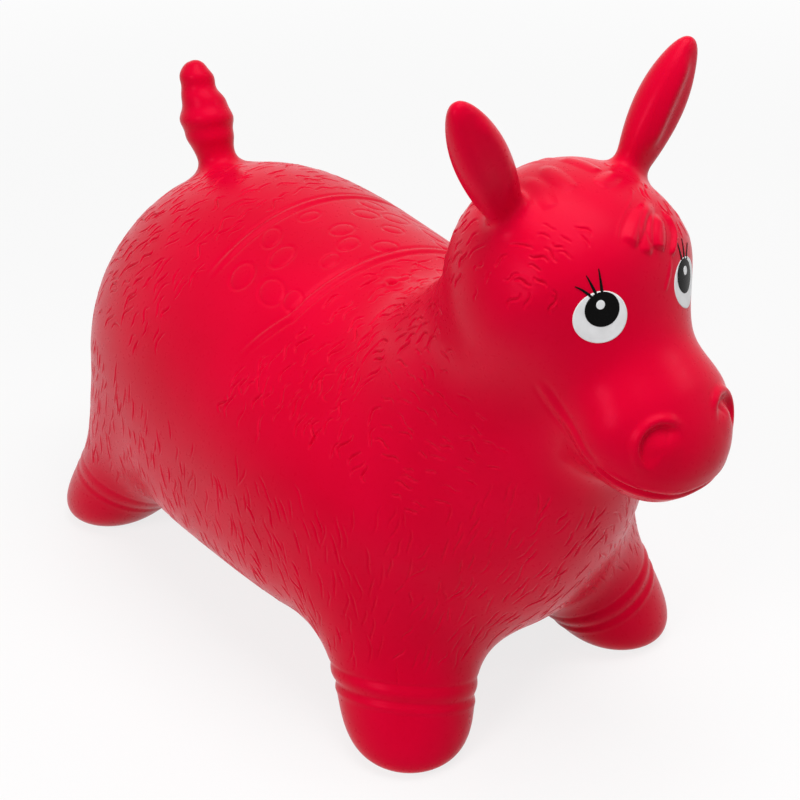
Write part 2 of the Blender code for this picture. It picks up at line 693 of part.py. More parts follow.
def make_valve(skin, torso_object, parts, cutters):
    """The moulded-in seat and the push-in plug with its pull ring."""
    frame = valve_frame()
    make_seat(skin, frame, torso_object, parts, cutters)

    shank = BORE_RADIUS - PLUG_RUNNING_CLEARANCE
    flange_base = SEAT_LIP + SEAM_GAP
    flange_out = flange_base + PLUG_FLANGE_THICKNESS
    plug_profile = (
        (0.0, flange_out),
        (PLUG_FLANGE_RADIUS, flange_out),
        (PLUG_FLANGE_RADIUS, flange_base),
        (shank, flange_base),
        (shank - PLUG_TAPER, flange_base - PLUG_LENGTH),
        (0.0, flange_base - PLUG_LENGTH),
    )
    plug = turned_object("valve_plug", plug_profile, frame, parts, CLEAR_PVC)
    boolean(plug, "UNION", pull_ring(frame, flange_out, cutters))


def make_seat(skin, frame, torso_object, parts, cutters):
    """A tube through the wall, held by a flange that follows the inside of the skin."""
    tube_profile = (
        (0.0, SEAT_LIP),
        (SEAT_RADIUS, SEAT_LIP),
        (SEAT_RADIUS, -SEAT_DEPTH),
        (0.0, -SEAT_DEPTH),
    )
    seat = turned_object("valve_seat", tube_profile, frame, parts, CLEAR_PVC)
    inside = make_cutter("skin_inside_face", skin.whole.grown(
        "skin_inside_face", -SKIN_WALL - SEAM_GAP), cutters)
    flange_reach = 2.0 * (SKIN_WALL + SEAM_GAP + SEAT_FLANGE_THICKNESS)
    flange = oval_cutter("valve_seat_flange", frame, SEAT_FLANGE_RADIUS, SEAT_FLANGE_RADIUS,
                         flange_reach, cutters)
    boolean(flange, "INTERSECT", inside)
    boolean(seat, "UNION", flange)
    bore = oval_cutter("valve_bore", frame, BORE_RADIUS, BORE_RADIUS,
                       2.0 * (SEAT_DEPTH + OVERRUN), cutters)
    boolean(seat, "DIFFERENCE", bore)

    hole_radius = SEAT_RADIUS + SEAM_GAP
    hole = oval_cutter("valve_hole", frame, hole_radius, hole_radius, 2.0 * SEAT_DEPTH, cutters)
    boolean(torso_object, "DIFFERENCE", hole)


def pull_ring(frame, flange_out, cutters):
    """A small ring standing on the plug's flange, to pull it by."""
    builder = bmesh.new()
    bmesh.ops.create_circle(builder, segments=PULL_RING_SIDES, radius=PULL_RING_THICKNESS)
    bmesh.ops.translate(builder, vec=(PULL_RING_RADIUS, 0.0, 0.0), verts=builder.verts)
    bmesh.ops.spin(builder, geom=builder.verts[:] + builder.edges[:], axis=(0, 1, 0), cent=(0, 0, 0),
                   angle=2.0 * math.pi, steps=PULL_RING_STEPS, use_merge=True)
    ring = make_cutter("pull_ring", finish_mesh("pull_ring", builder), cutters)
    ring.matrix_world = frame @ Matrix.Translation((0.0, 0.0, flange_out + PULL_RING_RADIUS))
    return ring


def eye_frame(side_sign, head):
    """Frame at an eye's centre: Z out of the face and Y up the face."""
    angle = EYE_AROUND if side_sign > 0.0 else math.pi - EYE_AROUND
    place = head.point(EYE_ALONG_SHARE, math.cos(angle), math.sin(angle))
    normal = surface_normal(head, EYE_ALONG_SHARE, angle)
    upward = Vector((0.0, 0.0, 1.0))
    across = upward.cross(normal)
    return frame_at(place, normal, across)


def printed_layer(name, outline, colour, skins, parts, holes=()):
    """A thin layer of ink on the face, inside an outline and outside other layers."""
    lower, upper = skins
    layer = add_object(name, outline.data.copy(), parts, colour)
    layer.matrix_world = outline.matrix_world.copy()
    boolean(layer, "INTERSECT", upper)
    boolean(layer, "DIFFERENCE", lower)
    for hole in holes:
        boolean(layer, "DIFFERENCE", hole)
    return layer


def lash_mesh(name, fan, depth):
    """A tapering stroke above the eye, in the eye's frame, leaning by its fan angle."""
    outward = Vector((math.sin(fan), math.cos(fan), 0.0))
    across = Vector((math.cos(fan), -math.sin(fan), 0.0))
    rim = 1.0 / math.hypot(outward.x / EYE_HALF_WIDTH, outward.y / EYE_HALF_HEIGHT)
    base = outward * (rim + 2.0 * SEAM_GAP)
    tip = outward * (rim + LASH_LENGTH)
    tip_half_width = LASH_HALF_WIDTH * LASH_TIP_SHARE
    corners = (base - across * LASH_HALF_WIDTH, base + across * LASH_HALF_WIDTH,
               tip + across * tip_half_width, tip - across * tip_half_width)
    deep = Vector((0.0, 0.0, depth / 2.0))
    builder = bmesh.new()
    face = builder.faces.new([builder.verts.new(corner - deep) for corner in corners])
    grown = bmesh.ops.extrude_face_region(builder, geom=[face])
    moved = [item for item in grown["geom"] if isinstance(item, bmesh.types.BMVert)]
    bmesh.ops.translate(builder, vec=2.0 * deep, verts=moved)
    return finish_mesh(name, builder)


def make_eye(side, side_sign, head, skins, parts, cutters):
    """The white, pupil, catchlight and lashes of one eye."""
    frame = eye_frame(side_sign, head)
    depth = HEAD_HALF_WIDTH
    name = side + "_eye"
    pupil_frame = frame @ Matrix.Translation((0.0, PUPIL_RAISE, 0.0))
    light_frame = frame @ Matrix.Translation((0.0, CATCHLIGHT_RAISE, 0.0))
    white = oval_cutter(name + "_white_outline", frame, EYE_HALF_WIDTH, EYE_HALF_HEIGHT, depth, cutters)
    pupil = oval_cutter(name + "_pupil_outline", pupil_frame, PUPIL_HALF_WIDTH, PUPIL_HALF_HEIGHT,
                        depth, cutters)
    pupil_hole = oval_cutter(name + "_pupil_hole", pupil_frame, PUPIL_HALF_WIDTH + SEAM_GAP,
                             PUPIL_HALF_HEIGHT + SEAM_GAP, depth, cutters)
    light = oval_cutter(name + "_catchlight_outline", light_frame, CATCHLIGHT_RADIUS, CATCHLIGHT_RADIUS,
                        depth, cutters)
    light_hole = oval_cutter(name + "_catchlight_hole", light_frame, CATCHLIGHT_RADIUS + SEAM_GAP,
                             CATCHLIGHT_RADIUS + SEAM_GAP, depth, cutters)
    printed_layer(name + "_white", white, WHITE_INK, skins, parts, (pupil_hole,))
    printed_layer(name + "_pupil", pupil, BLACK_INK, skins, parts, (light_hole,))
    printed_layer(name + "_catchlight", light, WHITE_INK, skins, parts)
    for lash_name, fan in LASH_FAN_ANGLES:
        outline_name = name + "_" + lash_name + "_lash_outline"
        lash = make_cutter(outline_name, lash_mesh(outline_name, side_sign * fan, depth), cutters)
        lash.matrix_world = frame
        printed_layer(name + "_" + lash_name + "_lash", lash, BLACK_INK, skins, parts)


def main():
    for old in list(bpy.data.objects):
        bpy.data.objects.remove(old, do_unlink=True)
    parts = bpy.data.collections.new(COLLECTION_NAME)
    cutters = bpy.data.collections.new(CUTTER_COLLECTION_NAME)
    bpy.context.scene.collection.children.link(parts)
    bpy.context.scene.collection.children.link(cutters)

    skin = Skin(cutters)
    torso_object, head_object, below_throat = make_skins(skin, parts, cutters)
    for side, side_sign in SIDES:
        make_ear(side + "_ear", side_sign, skin.head, head_object, parts, cutters)
    make_tail(torso_object, parts, cutters)
    make_valve(skin, torso_object, parts, cutters)

    print_skins = (
        make_cutter("print_underside", skin.whole.grown("print_underside", SEAM_GAP), cutters),
        make_cutter("print_topside", skin.whole.grown("print_topside", SEAM_GAP + PRINT_THICKNESS), cutters),
    )
    for print_skin in print_skins:
        boolean(print_skin, "DIFFERENCE", below_throat)
    for side, side_sign in SIDES:
        make_eye(side, side_sign, skin.head, print_skins, parts, cutters)


main()
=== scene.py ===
"""Looks of an inflated ride-on donkey: a moulded red skin with relief, printed eyes and an air valve."""

import json
import math

import bmesh
import bpy
import numpy as np
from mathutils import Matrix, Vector
from mathutils.bvhtree import BVHTree


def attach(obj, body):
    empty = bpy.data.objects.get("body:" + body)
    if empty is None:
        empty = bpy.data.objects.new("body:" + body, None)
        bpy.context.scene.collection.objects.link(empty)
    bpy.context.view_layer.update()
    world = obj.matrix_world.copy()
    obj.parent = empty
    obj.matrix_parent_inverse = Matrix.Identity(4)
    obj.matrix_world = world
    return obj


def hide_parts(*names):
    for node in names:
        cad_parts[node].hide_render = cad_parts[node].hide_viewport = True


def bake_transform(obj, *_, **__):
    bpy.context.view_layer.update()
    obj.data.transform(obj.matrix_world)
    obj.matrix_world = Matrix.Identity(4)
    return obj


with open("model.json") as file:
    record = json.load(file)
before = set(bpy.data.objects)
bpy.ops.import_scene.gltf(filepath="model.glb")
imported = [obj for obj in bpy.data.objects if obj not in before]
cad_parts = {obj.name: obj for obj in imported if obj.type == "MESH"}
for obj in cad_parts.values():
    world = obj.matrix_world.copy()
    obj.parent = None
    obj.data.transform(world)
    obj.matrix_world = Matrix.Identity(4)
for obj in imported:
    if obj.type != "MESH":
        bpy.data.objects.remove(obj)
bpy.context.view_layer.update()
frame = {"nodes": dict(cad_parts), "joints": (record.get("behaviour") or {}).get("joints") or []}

MM = 0.001
SEED = 11
VOXEL = 2.0 * MM
COARSE_STEPS = 4
FAR = 60.0 * MM
SIDES = (("right", -1.0), ("left", 1.0))
ENDS = (("front", -1.0), ("rear", 1.0))
TINY = 1e-9

# The forms of the moulded skin, in metres: the same driving sizes as the CAD model's
TORSO = {"middle": (0, 0.061, 0.150), "half_length": 0.228, "sizes": (0.150, 0.163, 0.122),
         "powers": (2.0, 2.8), "end_power": 3.2}
TORSO_WIDTH_SHARES = ((-1.0, 1.0), (-0.45, 1.0), (0.15, 0.99), (0.65, 0.96), (1.0, 0.96))
TORSO_RISE_SHARES = ((-1.0, 0.75), (-0.45, 0.76), (0.0, 0.90), (0.45, 1.0), (1.0, 0.97))
EVEN_SHARES = ((-1.0, 1.0), (1.0, 1.0))
NECK = {"middle": (0, -0.126, 0.210), "half_length": 0.135, "sizes": (0.083, 0.094, 0.094),
        "powers": (2.1, 2.1), "end_power": 2.2}
NECK_TILT = math.radians(78.0)
HEAD = {"middle": (0, -0.198, 0.312), "half_length": 0.113, "sizes": (0.082, 0.069, 0.075),
        "powers": (2.1, 2.1), "end_power": 2.5}
HEAD_SLOPE = math.radians(42.0)
HEAD_WIDTH_SHARES = ((-1.0, 1.0), (-0.25, 1.0), (0.24, 0.64), (0.57, 0.75), (1.0, 0.76))
HEAD_RISE_SHARES = ((-1.0, 1.0), (-0.25, 1.0), (0.24, 0.63), (0.57, 0.64), (1.0, 0.64))
HEAD_DROP_SHARES = ((-1.0, 1.0), (-0.25, 1.0), (0.24, 0.83), (0.57, 0.63), (1.0, 0.62))
FOOT_RADIUS = 0.0485
FOOT_OUT_X = 0.1055
FOOT_Y = {"front": -0.1415, "rear": 0.2550}
LEG_HALF_HEIGHT = 0.075
LEG_LEAN_IN = 0.28
LEG_LEAN_ALONG = 0.46
LEG_POWERS = (2.0, 2.0)
LEG_END_POWER = 4.4
EYE_MIDDLE = (0.037, -0.2305, 0.346)
EAR_LENGTH = 0.0905
EAR_INTO_HEAD = 0.012
EAR_OUTWARD = (0.5, -0.035, 0.866)
EAR_SIZES = (0.0168, 0.0162, 0.0122)
EAR_POWERS = (2.0, 2.5)
EAR_END_POWER = 2.3
EAR_WIDTH_SHARES = ((-1.0, 0.78), (-0.5, 0.92), (0.0, 1.0), (0.4, 0.98), (1.0, 0.82))
EAR_DEPTH_SHARES = ((-1.0, 0.70), (-0.5, 0.84), (0.0, 1.0), (0.4, 1.0), (1.0, 0.85))
TAIL_LENGTH = 0.0855
TAIL_INTO_RUMP = 0.014
TAIL_OUTWARD = (0.0, 0.3584, 0.9336)
TAIL_RADIUS = 0.0200
TAIL_POWERS = (2.0, 2.0)
TAIL_END_POWER = 2.4
TAIL_SIZE_SHARES = (
    (-1.0, 0.84), (-0.6, 0.76), (-0.2, 0.93), (0.12, 1.02), (0.50, 0.78), (0.78, 0.86), (1.0, 0.90))
NECK_BLEND = 0.055
HEAD_BLEND = 0.030
LEG_BLEND = 0.040
EAR_BLEND = 0.013
TAIL_BLEND = 0.018

JOINTS = {joint["name"]: joint for joint in frame["joints"]}


def shares_at(place, shares):
    """Values at places on the smooth curve through a table of (place, value) shares."""
    places, values = np.array(shares, float).T
    last = len(shares) - 1
    after = np.minimum(np.arange(len(shares)) + 1, last)
    before = np.maximum(np.arange(len(shares)) - 1, 0)
    slopes = (values[after] - values[before]) / (places[after] - places[before])
    place = np.clip(place, places[0], places[-1])
    index = np.clip(np.searchsorted(places, place) - 1, 0, last - 1)
    span = places[index + 1] - places[index]
    t = (place - places[index]) / span
    rise = (3.0 - 2.0 * t) * t * t
    return ((1.0 - rise) * values[index] + rise * values[index + 1]
            + ((t - 2.0) * t + 1.0) * t * span * slopes[index]
            + (t - 1.0) * t * t * span * slopes[index + 1])


def unit(vector):
    vector = np.array(vector, float)
    return vector / np.linalg.norm(vector)


def mirrored(spot, sign):
    """A spot or direction of the animal's left side for the sign 1, and of its right side for -1."""
    return np.array(spot, float) * (sign, 1.0, 1.0)


def lengths(vectors):
    return np.linalg.norm(vectors, axis=1)


def smoothstep(low, high, value):
    t = np.clip((value - low) / (high - low), 0.0, 1.0)
    return t * t * (3.0 - 2.0 * t)


def window(value, start, full, fading, gone):
    """A share that rises from start to full, and falls again from fading to gone."""
    return smoothstep(start, full, value) * smoothstep(gone, fading, value)


def gaussian(distance, width):
    return np.exp(-(distance / width) ** 2)


def bands_height(gap, bands):
    """Height of ridges and grooves beside a line, each with its height, place and width in millimetres."""
    return MM * sum(rise * gaussian(gap - place * MM, width * MM) for rise, place, width in bands)


def smooth_union(a, b, reach):
    """The nearer of two distance fields, with the corner between them filled over a reach."""
    share = np.clip(0.5 + 0.5 * (b - a) / reach, 0.0, 1.0)
    return b * (1.0 - share) + a * share - reach * share * (1.0 - share)


class Form:
    """A rounded form with superelliptic sections along an axis, as an approximate distance field."""

    def __init__(self, middle, along, side, up, half_length, sizes, powers, end_power, shares):
        self.middle = np.array(middle, float)
        self.frame = np.linalg.inv(np.array([side, up, along], float).T)
        self.half_length = half_length
        self.sizes = sizes
        self.powers = powers
        self.end_power = end_power
        self.shares = shares
        self.reach = np.linalg.norm(along) * half_length + max(sizes) + FAR

    def field(self, points):
        """Signed distance to the form, near enough where it is small, and capped where it is large."""
        result = np.full(len(points), FAR)
        offset = points - self.middle
        near = np.flatnonzero(np.einsum("ij,ij->i", offset, offset) < self.reach ** 2)
        local = offset[near] @ self.frame.T
        place = local[:, 2] / self.half_length
        upper = local[:, 1] >= 0.0
        width = self.sizes[0] * shares_at(place, self.shares[0])
        height = np.where(upper, self.sizes[1] * shares_at(place, self.shares[1]),
                          self.sizes[2] * shares_at(place, self.shares[2]))
        power = np.where(upper, self.powers[0], self.powers[1])
        across = np.abs(local[:, 0]) / width + TINY
        upward = np.abs(local[:, 1]) / height + TINY
        along = np.abs(place) + TINY
        section = (across ** power + upward ** power) ** (1.0 / power)
        whole = (section ** self.end_power + along ** self.end_power) ** (1.0 / self.end_power)
        section_slope = (section / whole) ** (self.end_power - 1.0)
        along_slope = (along / whole) ** (self.end_power - 1.0) / self.half_length
        across_slope = (across / section) ** (power - 1.0) / width
        upward_slope = (upward / section) ** (power - 1.0) / height
        steepness = np.sqrt(section_slope ** 2 * (across_slope ** 2 + upward_slope ** 2) + along_slope ** 2)
        result[near] = np.clip((whole - 1.0) / steepness, -FAR, FAR)
        return result


def body_form(sizes, along, up, shares):
    return Form(sizes["middle"], along, (1, 0, 0), up, sizes["half_length"], sizes["sizes"],
                sizes["powers"], sizes["end_power"], shares)


def foot_at(end, side_sign):
    return np.array((side_sign * FOOT_OUT_X, FOOT_Y[end], 0.0))


FEET = [(end, end_sign, side_sign, foot_at(end, side_sign))
        for _, side_sign in SIDES for end, end_sign in ENDS]


def leg_form(end_sign, side_sign, foot):
    axis = np.array((-side_sign * LEG_LEAN_IN, -end_sign * LEG_LEAN_ALONG, 1.0))
    return Form(foot + axis * LEG_HALF_HEIGHT, axis, (1, 0, 0), (0, 1, 0), LEG_HALF_HEIGHT,
                (FOOT_RADIUS,) * 3, LEG_POWERS, LEG_END_POWER, (EVEN_SHARES,) * 3)


class Lock:
    """An ear or the tail: where it is rooted, and its own across, backward and outward directions."""

    def __init__(self, joint, outward):
        self.root = np.array(JOINTS[joint]["pos_m"], float)
        self.across = unit(JOINTS[joint]["axis"])
        self.outward = unit(outward - self.across * np.dot(outward, self.across))
        self.backward = np.cross(self.outward, self.across)

    def local(self, points):
        return (points - self.root) @ np.array([self.across, self.backward, self.outward]).T

    def at(self, height):
        return self.root + self.outward * height


def lock_form(lock, length, root, sizes, powers, end_power, shares):
    """The form of an ear or the tail, of which the root is inside the body."""
    half = (length + root) / 2.0
    return Form(lock.at(length - half), lock.outward, lock.across, lock.backward, half, sizes, powers,
                end_power, shares)


LOCK_REACH = 0.12
EARS = {side: Lock(side + "_ear_flex", mirrored(EAR_OUTWARD, sign)) for side, sign in SIDES}
TAIL = Lock("tail_flex", np.array(TAIL_OUTWARD))
NECK_ALONG = np.array((0.0, -math.cos(NECK_TILT), math.sin(NECK_TILT)))
NECK_UP = np.array((0.0, math.sin(NECK_TILT), math.cos(NECK_TILT)))
HEAD_ALONG = np.array((0.0, -math.cos(HEAD_SLOPE), -math.sin(HEAD_SLOPE)))
HEAD_UP = np.array((0.0, -math.sin(HEAD_SLOPE), math.cos(HEAD_SLOPE)))
TORSO_FORM = body_form(TORSO, (0, 1, 0), (0, 0, 1), (TORSO_WIDTH_SHARES, TORSO_RISE_SHARES, EVEN_SHARES))
NECK_FORM = body_form(NECK, NECK_ALONG, NECK_UP, (EVEN_SHARES,) * 3)
HEAD_FORM = body_form(HEAD, HEAD_ALONG, HEAD_UP, (HEAD_WIDTH_SHARES, HEAD_RISE_SHARES, HEAD_DROP_SHARES))
LEG_FORMS = [leg_form(*foot[1:]) for foot in FEET]
EAR_FORMS = [lock_form(ear, EAR_LENGTH, EAR_INTO_HEAD, EAR_SIZES, EAR_POWERS, EAR_END_POWER,
                       (EAR_WIDTH_SHARES, EAR_DEPTH_SHARES, EAR_DEPTH_SHARES)) for ear in EARS.values()]
TAIL_FORM = lock_form(TAIL, TAIL_LENGTH, TAIL_INTO_RUMP, (TAIL_RADIUS,) * 3, TAIL_POWERS, TAIL_END_POWER,
                      (TAIL_SIZE_SHARES,) * 3)
BLENDS = (([NECK_FORM], NECK_BLEND), ([HEAD_FORM], HEAD_BLEND), (LEG_FORMS, LEG_BLEND),
          (EAR_FORMS, EAR_BLEND), ([TAIL_FORM], TAIL_BLEND))


def skin_field(points):
    """Distance field of the whole inflated skin, before its relief."""
    field = TORSO_FORM.field(points)
    for forms, reach in BLENDS:
        nearest = np.minimum.reduce([form.field(points) for form in forms])
        field = smooth_union(field, nearest, reach)
    return field


SLOPE_STEP = 0.2 * MM
NEAR_STEPS = 1.6


def slope(field, points, values):
    """Gradient of a field at points where its values are known."""
    gradient = np.empty_like(points)
    for axis in range(3):
        moved = points.copy()
        moved[:, axis] += SLOPE_STEP
        gradient[:, axis] = (field(moved) - values) / SLOPE_STEP
    return gradient


def settle(field, points, rounds):
    """Move points onto the surface where a field is zero, and give its normals there."""
    for _ in range(rounds):
        values = field(points)
        gradient = slope(field, points, values)
        points = points - gradient * (values / np.einsum("ij,ij->i", gradient, gradient))[:, None]
    gradient = slope(field, points, field(points))
    return points, gradient / lengths(gradient)[:, None]


def sampled_field(field, low, high):
    """A field on an even grid: exact near its surface, and only its sign elsewhere."""
    step = VOXEL * COARSE_STEPS
    counts = [int(math.ceil((high[i] - low[i]) / step)) + 1 for i in range(3)]
    axes = [low[i] + step * np.arange(counts[i]) for i in range(3)]
    coarse = np.stack(np.meshgrid(*axes, indexing="ij"), -1).reshape(-1, 3)
    values = field(coarse).reshape(counts)
    for axis in range(3):
        values = np.repeat(values, COARSE_STEPS, axis=axis)
    near = np.argwhere(np.abs(values) < NEAR_STEPS * step)
    values[tuple(near.T)] = field(np.array(low) + VOXEL * near)
    return values


def cell_points(values, inside, low):
    """One point in each grid cell that the surface crosses, and the number of each such cell."""
    shape = tuple(count - 1 for count in values.shape)
    full = np.zeros(shape, np.int8)
    corners = [(i, j, k) for i in (0, 1) for j in (0, 1) for k in (0, 1)]
    for i, j, k in corners:
        full += inside[i:i + shape[0], j:j + shape[1], k:k + shape[2]]
    cells = np.argwhere((full > 0) & (full < len(corners)))
    number = np.full(shape, -1, int)
    number[tuple(cells.T)] = np.arange(len(cells))
    total = np.zeros((len(cells), 3))
    count = np.zeros(len(cells))
    for corner in corners:
        for axis in range(3):
            if corner[axis] == 1:
                continue
            other = list(corner)
            other[axis] = 1
            start = values[tuple((cells + corner).T)]
            end = values[tuple((cells + other).T)]
            crossed = (start < 0.0) != (end < 0.0)
            share = np.where(crossed, start / np.where(crossed, start - end, 1.0), 0.0)
            spot = np.tile(np.array(corner, float), (len(cells), 1))
            spot[:, axis] = share
            total[crossed] += spot[crossed]
            count[crossed] += 1.0
    return np.array(low) + VOXEL * (cells + total / count[:, None]), number


def cell_faces(inside, number):
    """A four-sided face across each grid edge that the surface crosses."""
    faces = []
    for axis in range(3):
        first, second = (axis + 1) % 3, (axis + 2) % 3
        here, there = [slice(1, -1)] * 3, [slice(1, -1)] * 3
        here[axis], there[axis] = slice(0, -1), slice(1, None)
        start, end = inside[tuple(here)], inside[tuple(there)]
        margin = np.ones(3, int)
        margin[axis] = 0
        step_first, step_second = np.eye(3, dtype=int)[first], np.eye(3, dtype=int)[second]
        for turned, crossings in ((False, start & ~end), (True, ~start & end)):
            cell = np.argwhere(crossings) + margin
            ring = [cell - step_first - step_second, cell - step_second, cell, cell - step_first]
            if turned:
                ring.reverse()
            faces.append(np.stack([number[tuple(spot.T)] for spot in ring], 1))
    return np.concatenate(faces)


def surface_of(values, low):
    """Corner points and four-sided faces of the surface where a gridded field is zero."""
    inside = values < 0.0
    points, number = cell_points(values, inside, low)
    return points, cell_faces(inside, number)


def path_of(spots, steps=24):
    """A smooth path through a few spots given in millimetres."""
    spots = np.array(spots, float) * MM
    share = np.linspace(0.0, 1.0, steps)
    knots = np.linspace(0.0, 1.0, len(spots))
    return np.stack([shares_at(share, list(zip(knots, spots[:, i]))) for i in range(3)], 1)


def along_path(points, path, reach):
    """For the points near a path: their numbers, distance to it and share along it."""
    low, high = path.min(0) - reach, path.max(0) + reach
    near = np.flatnonzero(((points > low) & (points < high)).all(1))
    legs = np.diff(path, axis=0)
    offset = points[near][:, None, :] - path[:-1]
    part = np.clip((offset * legs).sum(2) / (legs ** 2).sum(1), 0.0, 1.0)
    gaps = np.linalg.norm(offset - part[:, :, None] * legs, axis=2)
    nearest = gaps.argmin(1)
    rows = np.arange(len(near))
    return near, gaps[rows, nearest], (nearest + part[rows, nearest]) / len(legs)


# Relief of the saddle cloth: two beaded hems across the back, and oval medallions between them
REAR_HEM_Y = 0.098
FRONT_HEM_Y = 0.018
HEM_SWEEP = 0.4
HEM_SWEEP_FROM = 0.080
HEM_BANDS = ((0.7, 0.0, 2.4), (-0.8, 3.6, 1.6))
REAR_HEM_FADE = (0.266, 0.290)
FRONT_HEM_FADE = (0.236, 0.262)
DOME_HEIGHT = 0.30 * MM
RING_DEPTH = 0.50 * MM
RING_WIDTH = 0.14
SIDE_MEDALLIONS = (
    (80, 75, 11.5, 9.0, -20), (47, 84, 10.5, 7.0, -35), (53, 63, 11.5, 8.0, -10), (76, 45, 12.0, 9.5, -60),
    (71, 27, 9.0, 7.0, -40),
)
MIDDLE_MEDALLIONS = (
    (-2, 58, 10.0, 6.5, 0), (30, 70, 10.0, 6.5, 160), (-12, 84, 9.0, 5.0, 0), (-9, 42, 10.0, 6.0, 10),
    (14, 28, 10.0, 6.0, 170), (-31, 35, 8.5, 5.5, 15), (36, 46, 8.5, 5.5, 160),
)
MEDALLIONS = MIDDLE_MEDALLIONS + SIDE_MEDALLIONS + tuple(
    (-x, y, long, short, -turn) for x, y, long, short, turn in SIDE_MEDALLIONS)


def front_hem(x):
    """Where the front hem runs: straight across the back, then rearward down the sides."""
    return FRONT_HEM_Y + HEM_SWEEP * np.maximum(np.abs(x) - HEM_SWEEP_FROM, 0.0)


def add_crease(height, points, path, reach, ends, bands):
    """Add ridges and grooves along a path to the height, fading in and out at shares along it."""
    near, gap, share = along_path(points, path, reach)
    height[near] += window(share, *ends) * bands_height(gap, bands)


def hem_height(points):
    x, y, z = points.T
    return (smoothstep(*REAR_HEM_FADE, z) * bands_height(np.abs(y - REAR_HEM_Y), HEM_BANDS)
            + smoothstep(*FRONT_HEM_FADE, z) * bands_height(np.abs(y - front_hem(x)), HEM_BANDS))


def medallion_height(points):
    """Shallow ovals on the saddle cloth: a groove around a low dome."""
    height = np.zeros(len(points))
    for x, y, long, short, turn in MEDALLIONS:
        middle = np.array((x * MM, y * MM, top_height(x * MM, y * MM)))
        near = np.flatnonzero(np.abs(points - middle).max(1) < 2.0 * long * MM)
        offset = points[near] - middle
        outward = slope(TORSO_FORM.field, middle[None], TORSO_FORM.field(middle[None]))[0]
        across = unit(np.cross((0.0, 1.0, 0.0), outward))
        along = unit(np.cross(outward, across))
        angle = math.radians(turn)
        first = math.cos(angle) * across + math.sin(angle) * along
        second = math.cos(angle) * along - math.sin(angle) * across
        ring = np.hypot(offset @ first / (long * MM), offset @ second / (short * MM))
        height[near] += DOME_HEIGHT * smoothstep(1.0, 0.1, ring)
        height[near] -= RING_DEPTH * gaussian(ring - 1.0, RING_WIDTH)
    return height


def top_height(x, y):
    """Height of the barrel's back at a place, from its own form."""
    place = (y - TORSO["middle"][1]) / TORSO["half_length"]
    rise = TORSO["sizes"][1] * shares_at(place, TORSO_RISE_SHARES)
    width = TORSO["sizes"][0] * shares_at(place, TORSO_WIDTH_SHARES)
    end = (1.0 - abs(place) ** TORSO["end_power"]) ** (1.0 / TORSO["end_power"])
    across = min(abs(x) / (width * end), 0.99)
    return TORSO["middle"][2] + rise * end * math.sqrt(1.0 - across ** 2)


# Relief of the head: forelock, mane, nostrils, mouth and cheek, with their spots and sizes in millimetres
FORELOCKS = (
    (((29, -179, 403), (13, -184, 405), (1, -187, 405)), 7.0, 1.1),
    (((32, -189, 400), (19, -204, 395), (1, -214, 390), (-13, -221, 382)), 5.0, -1.5),
    (((29, -204, 391), (8, -215, 388), (-9, -222, 381)), 8.0, 2.6),
    (((26, -207, 390), (10, -220, 383), (1, -228, 374)), 6.5, 2.1),
    (((27, -211, 387), (18, -221, 381), (12, -228, 374)), 8.5, 3.2),
    (((34, -207, 387), (34, -219, 376), (23, -228, 367)), 3.0, 2.4),
    (((23, -228, 366), (17, -233, 357), (11, -236, 350)), 2.0, 0.6),
    (((6, -148, 409), (10, -160, 409), (12, -176, 406)), 7.5, 1.2),
    (((-10, -150, 409), (-14, -164, 408), (-16, -182, 403)), 8.0, 1.1),
    (((-26, -150, 406), (-30, -168, 403), (-34, -184, 396)), 7.5, 1.0),
)
LOCK_TAPER = (0.35, 0.65)
LOCK_SWELL = (0.08, 0.74)
LOCK_CROWN = 1.4
LOCK_GROOVE = (0.22, 1.12, 0.16)
LOCK_ENDS = (-0.02, 0.30, 0.90, 1.02)
MANE_ROWS = 7
MANE_TOP = (-140.0, 402.0)
MANE_RUN = (62.0, -84.0)
MANE_CURVE = 1.1
MANE_OUT = (6.0, 3.0, 2.3)
MANE_SPOTS = ((0.4, 0.0, -8.0, 7.0), (1.0, 0.0, 6.0, -7.0), (1.0, 13.0, 8.0, -24.0))
MANE_LOCK = (6.0, 0.7)
NOSTRIL = (28.5, -279.0, 275.5)
NOSTRIL_RADIUS = 12.5 * MM
NOSTRIL_REACH = 4.0
NOSTRIL_TILT = (0.35, 0.0, 0.0)
NOSTRIL_OUTWARD = (0.55, -0.80, -0.2)
NOSTRIL_TURN = 1.15
NOSTRIL_ARC = (-0.45, 0.55)
NOSTRIL_RIM = (2.0, 1.38, 0.24)
NOSTRIL_HOLLOW = (2.6, 1.22, 1.02)
NOSTRIL_DOME = (0.7, 1.2, 0.2)
MOUTH_REACH = 14 * MM
MOUTH = ((54, -246, 262), (48, -259, 252.5), (33, -276, 245), (15, -283, 241.5), (0, -285.5, 240.5),
         (-15, -283, 241.5), (-33, -276, 245), (-48, -259, 252.5), (-54, -246, 262))
MOUTH_STEPS = 60
MOUTH_ENDS = (0.0, 0.08, 0.92, 1.0)
MOUTH_LINE = ((0.0, 0.033, 0.054), (0.2405, 0.245, 0.262))
LOWER_LIP = ((0.9, 4.0, 2.6), (-1.9, 0.0, 1.5))
UPPER_LIP = ((0.5, 4.0, 2.6), (-1.9, 0.0, 1.5))
CHEEK = ((58, -200, 306), (54, -214, 284), (55, -234, 270), (50, -250, 255))
CHEEK_REACH = 12 * MM
CHEEK_ENDS = (0.0, 0.2, 0.8, 1.0)
CHEEK_BANDS = ((0.9, 0.0, 3.0), (-0.5, 5.0, 2.0))


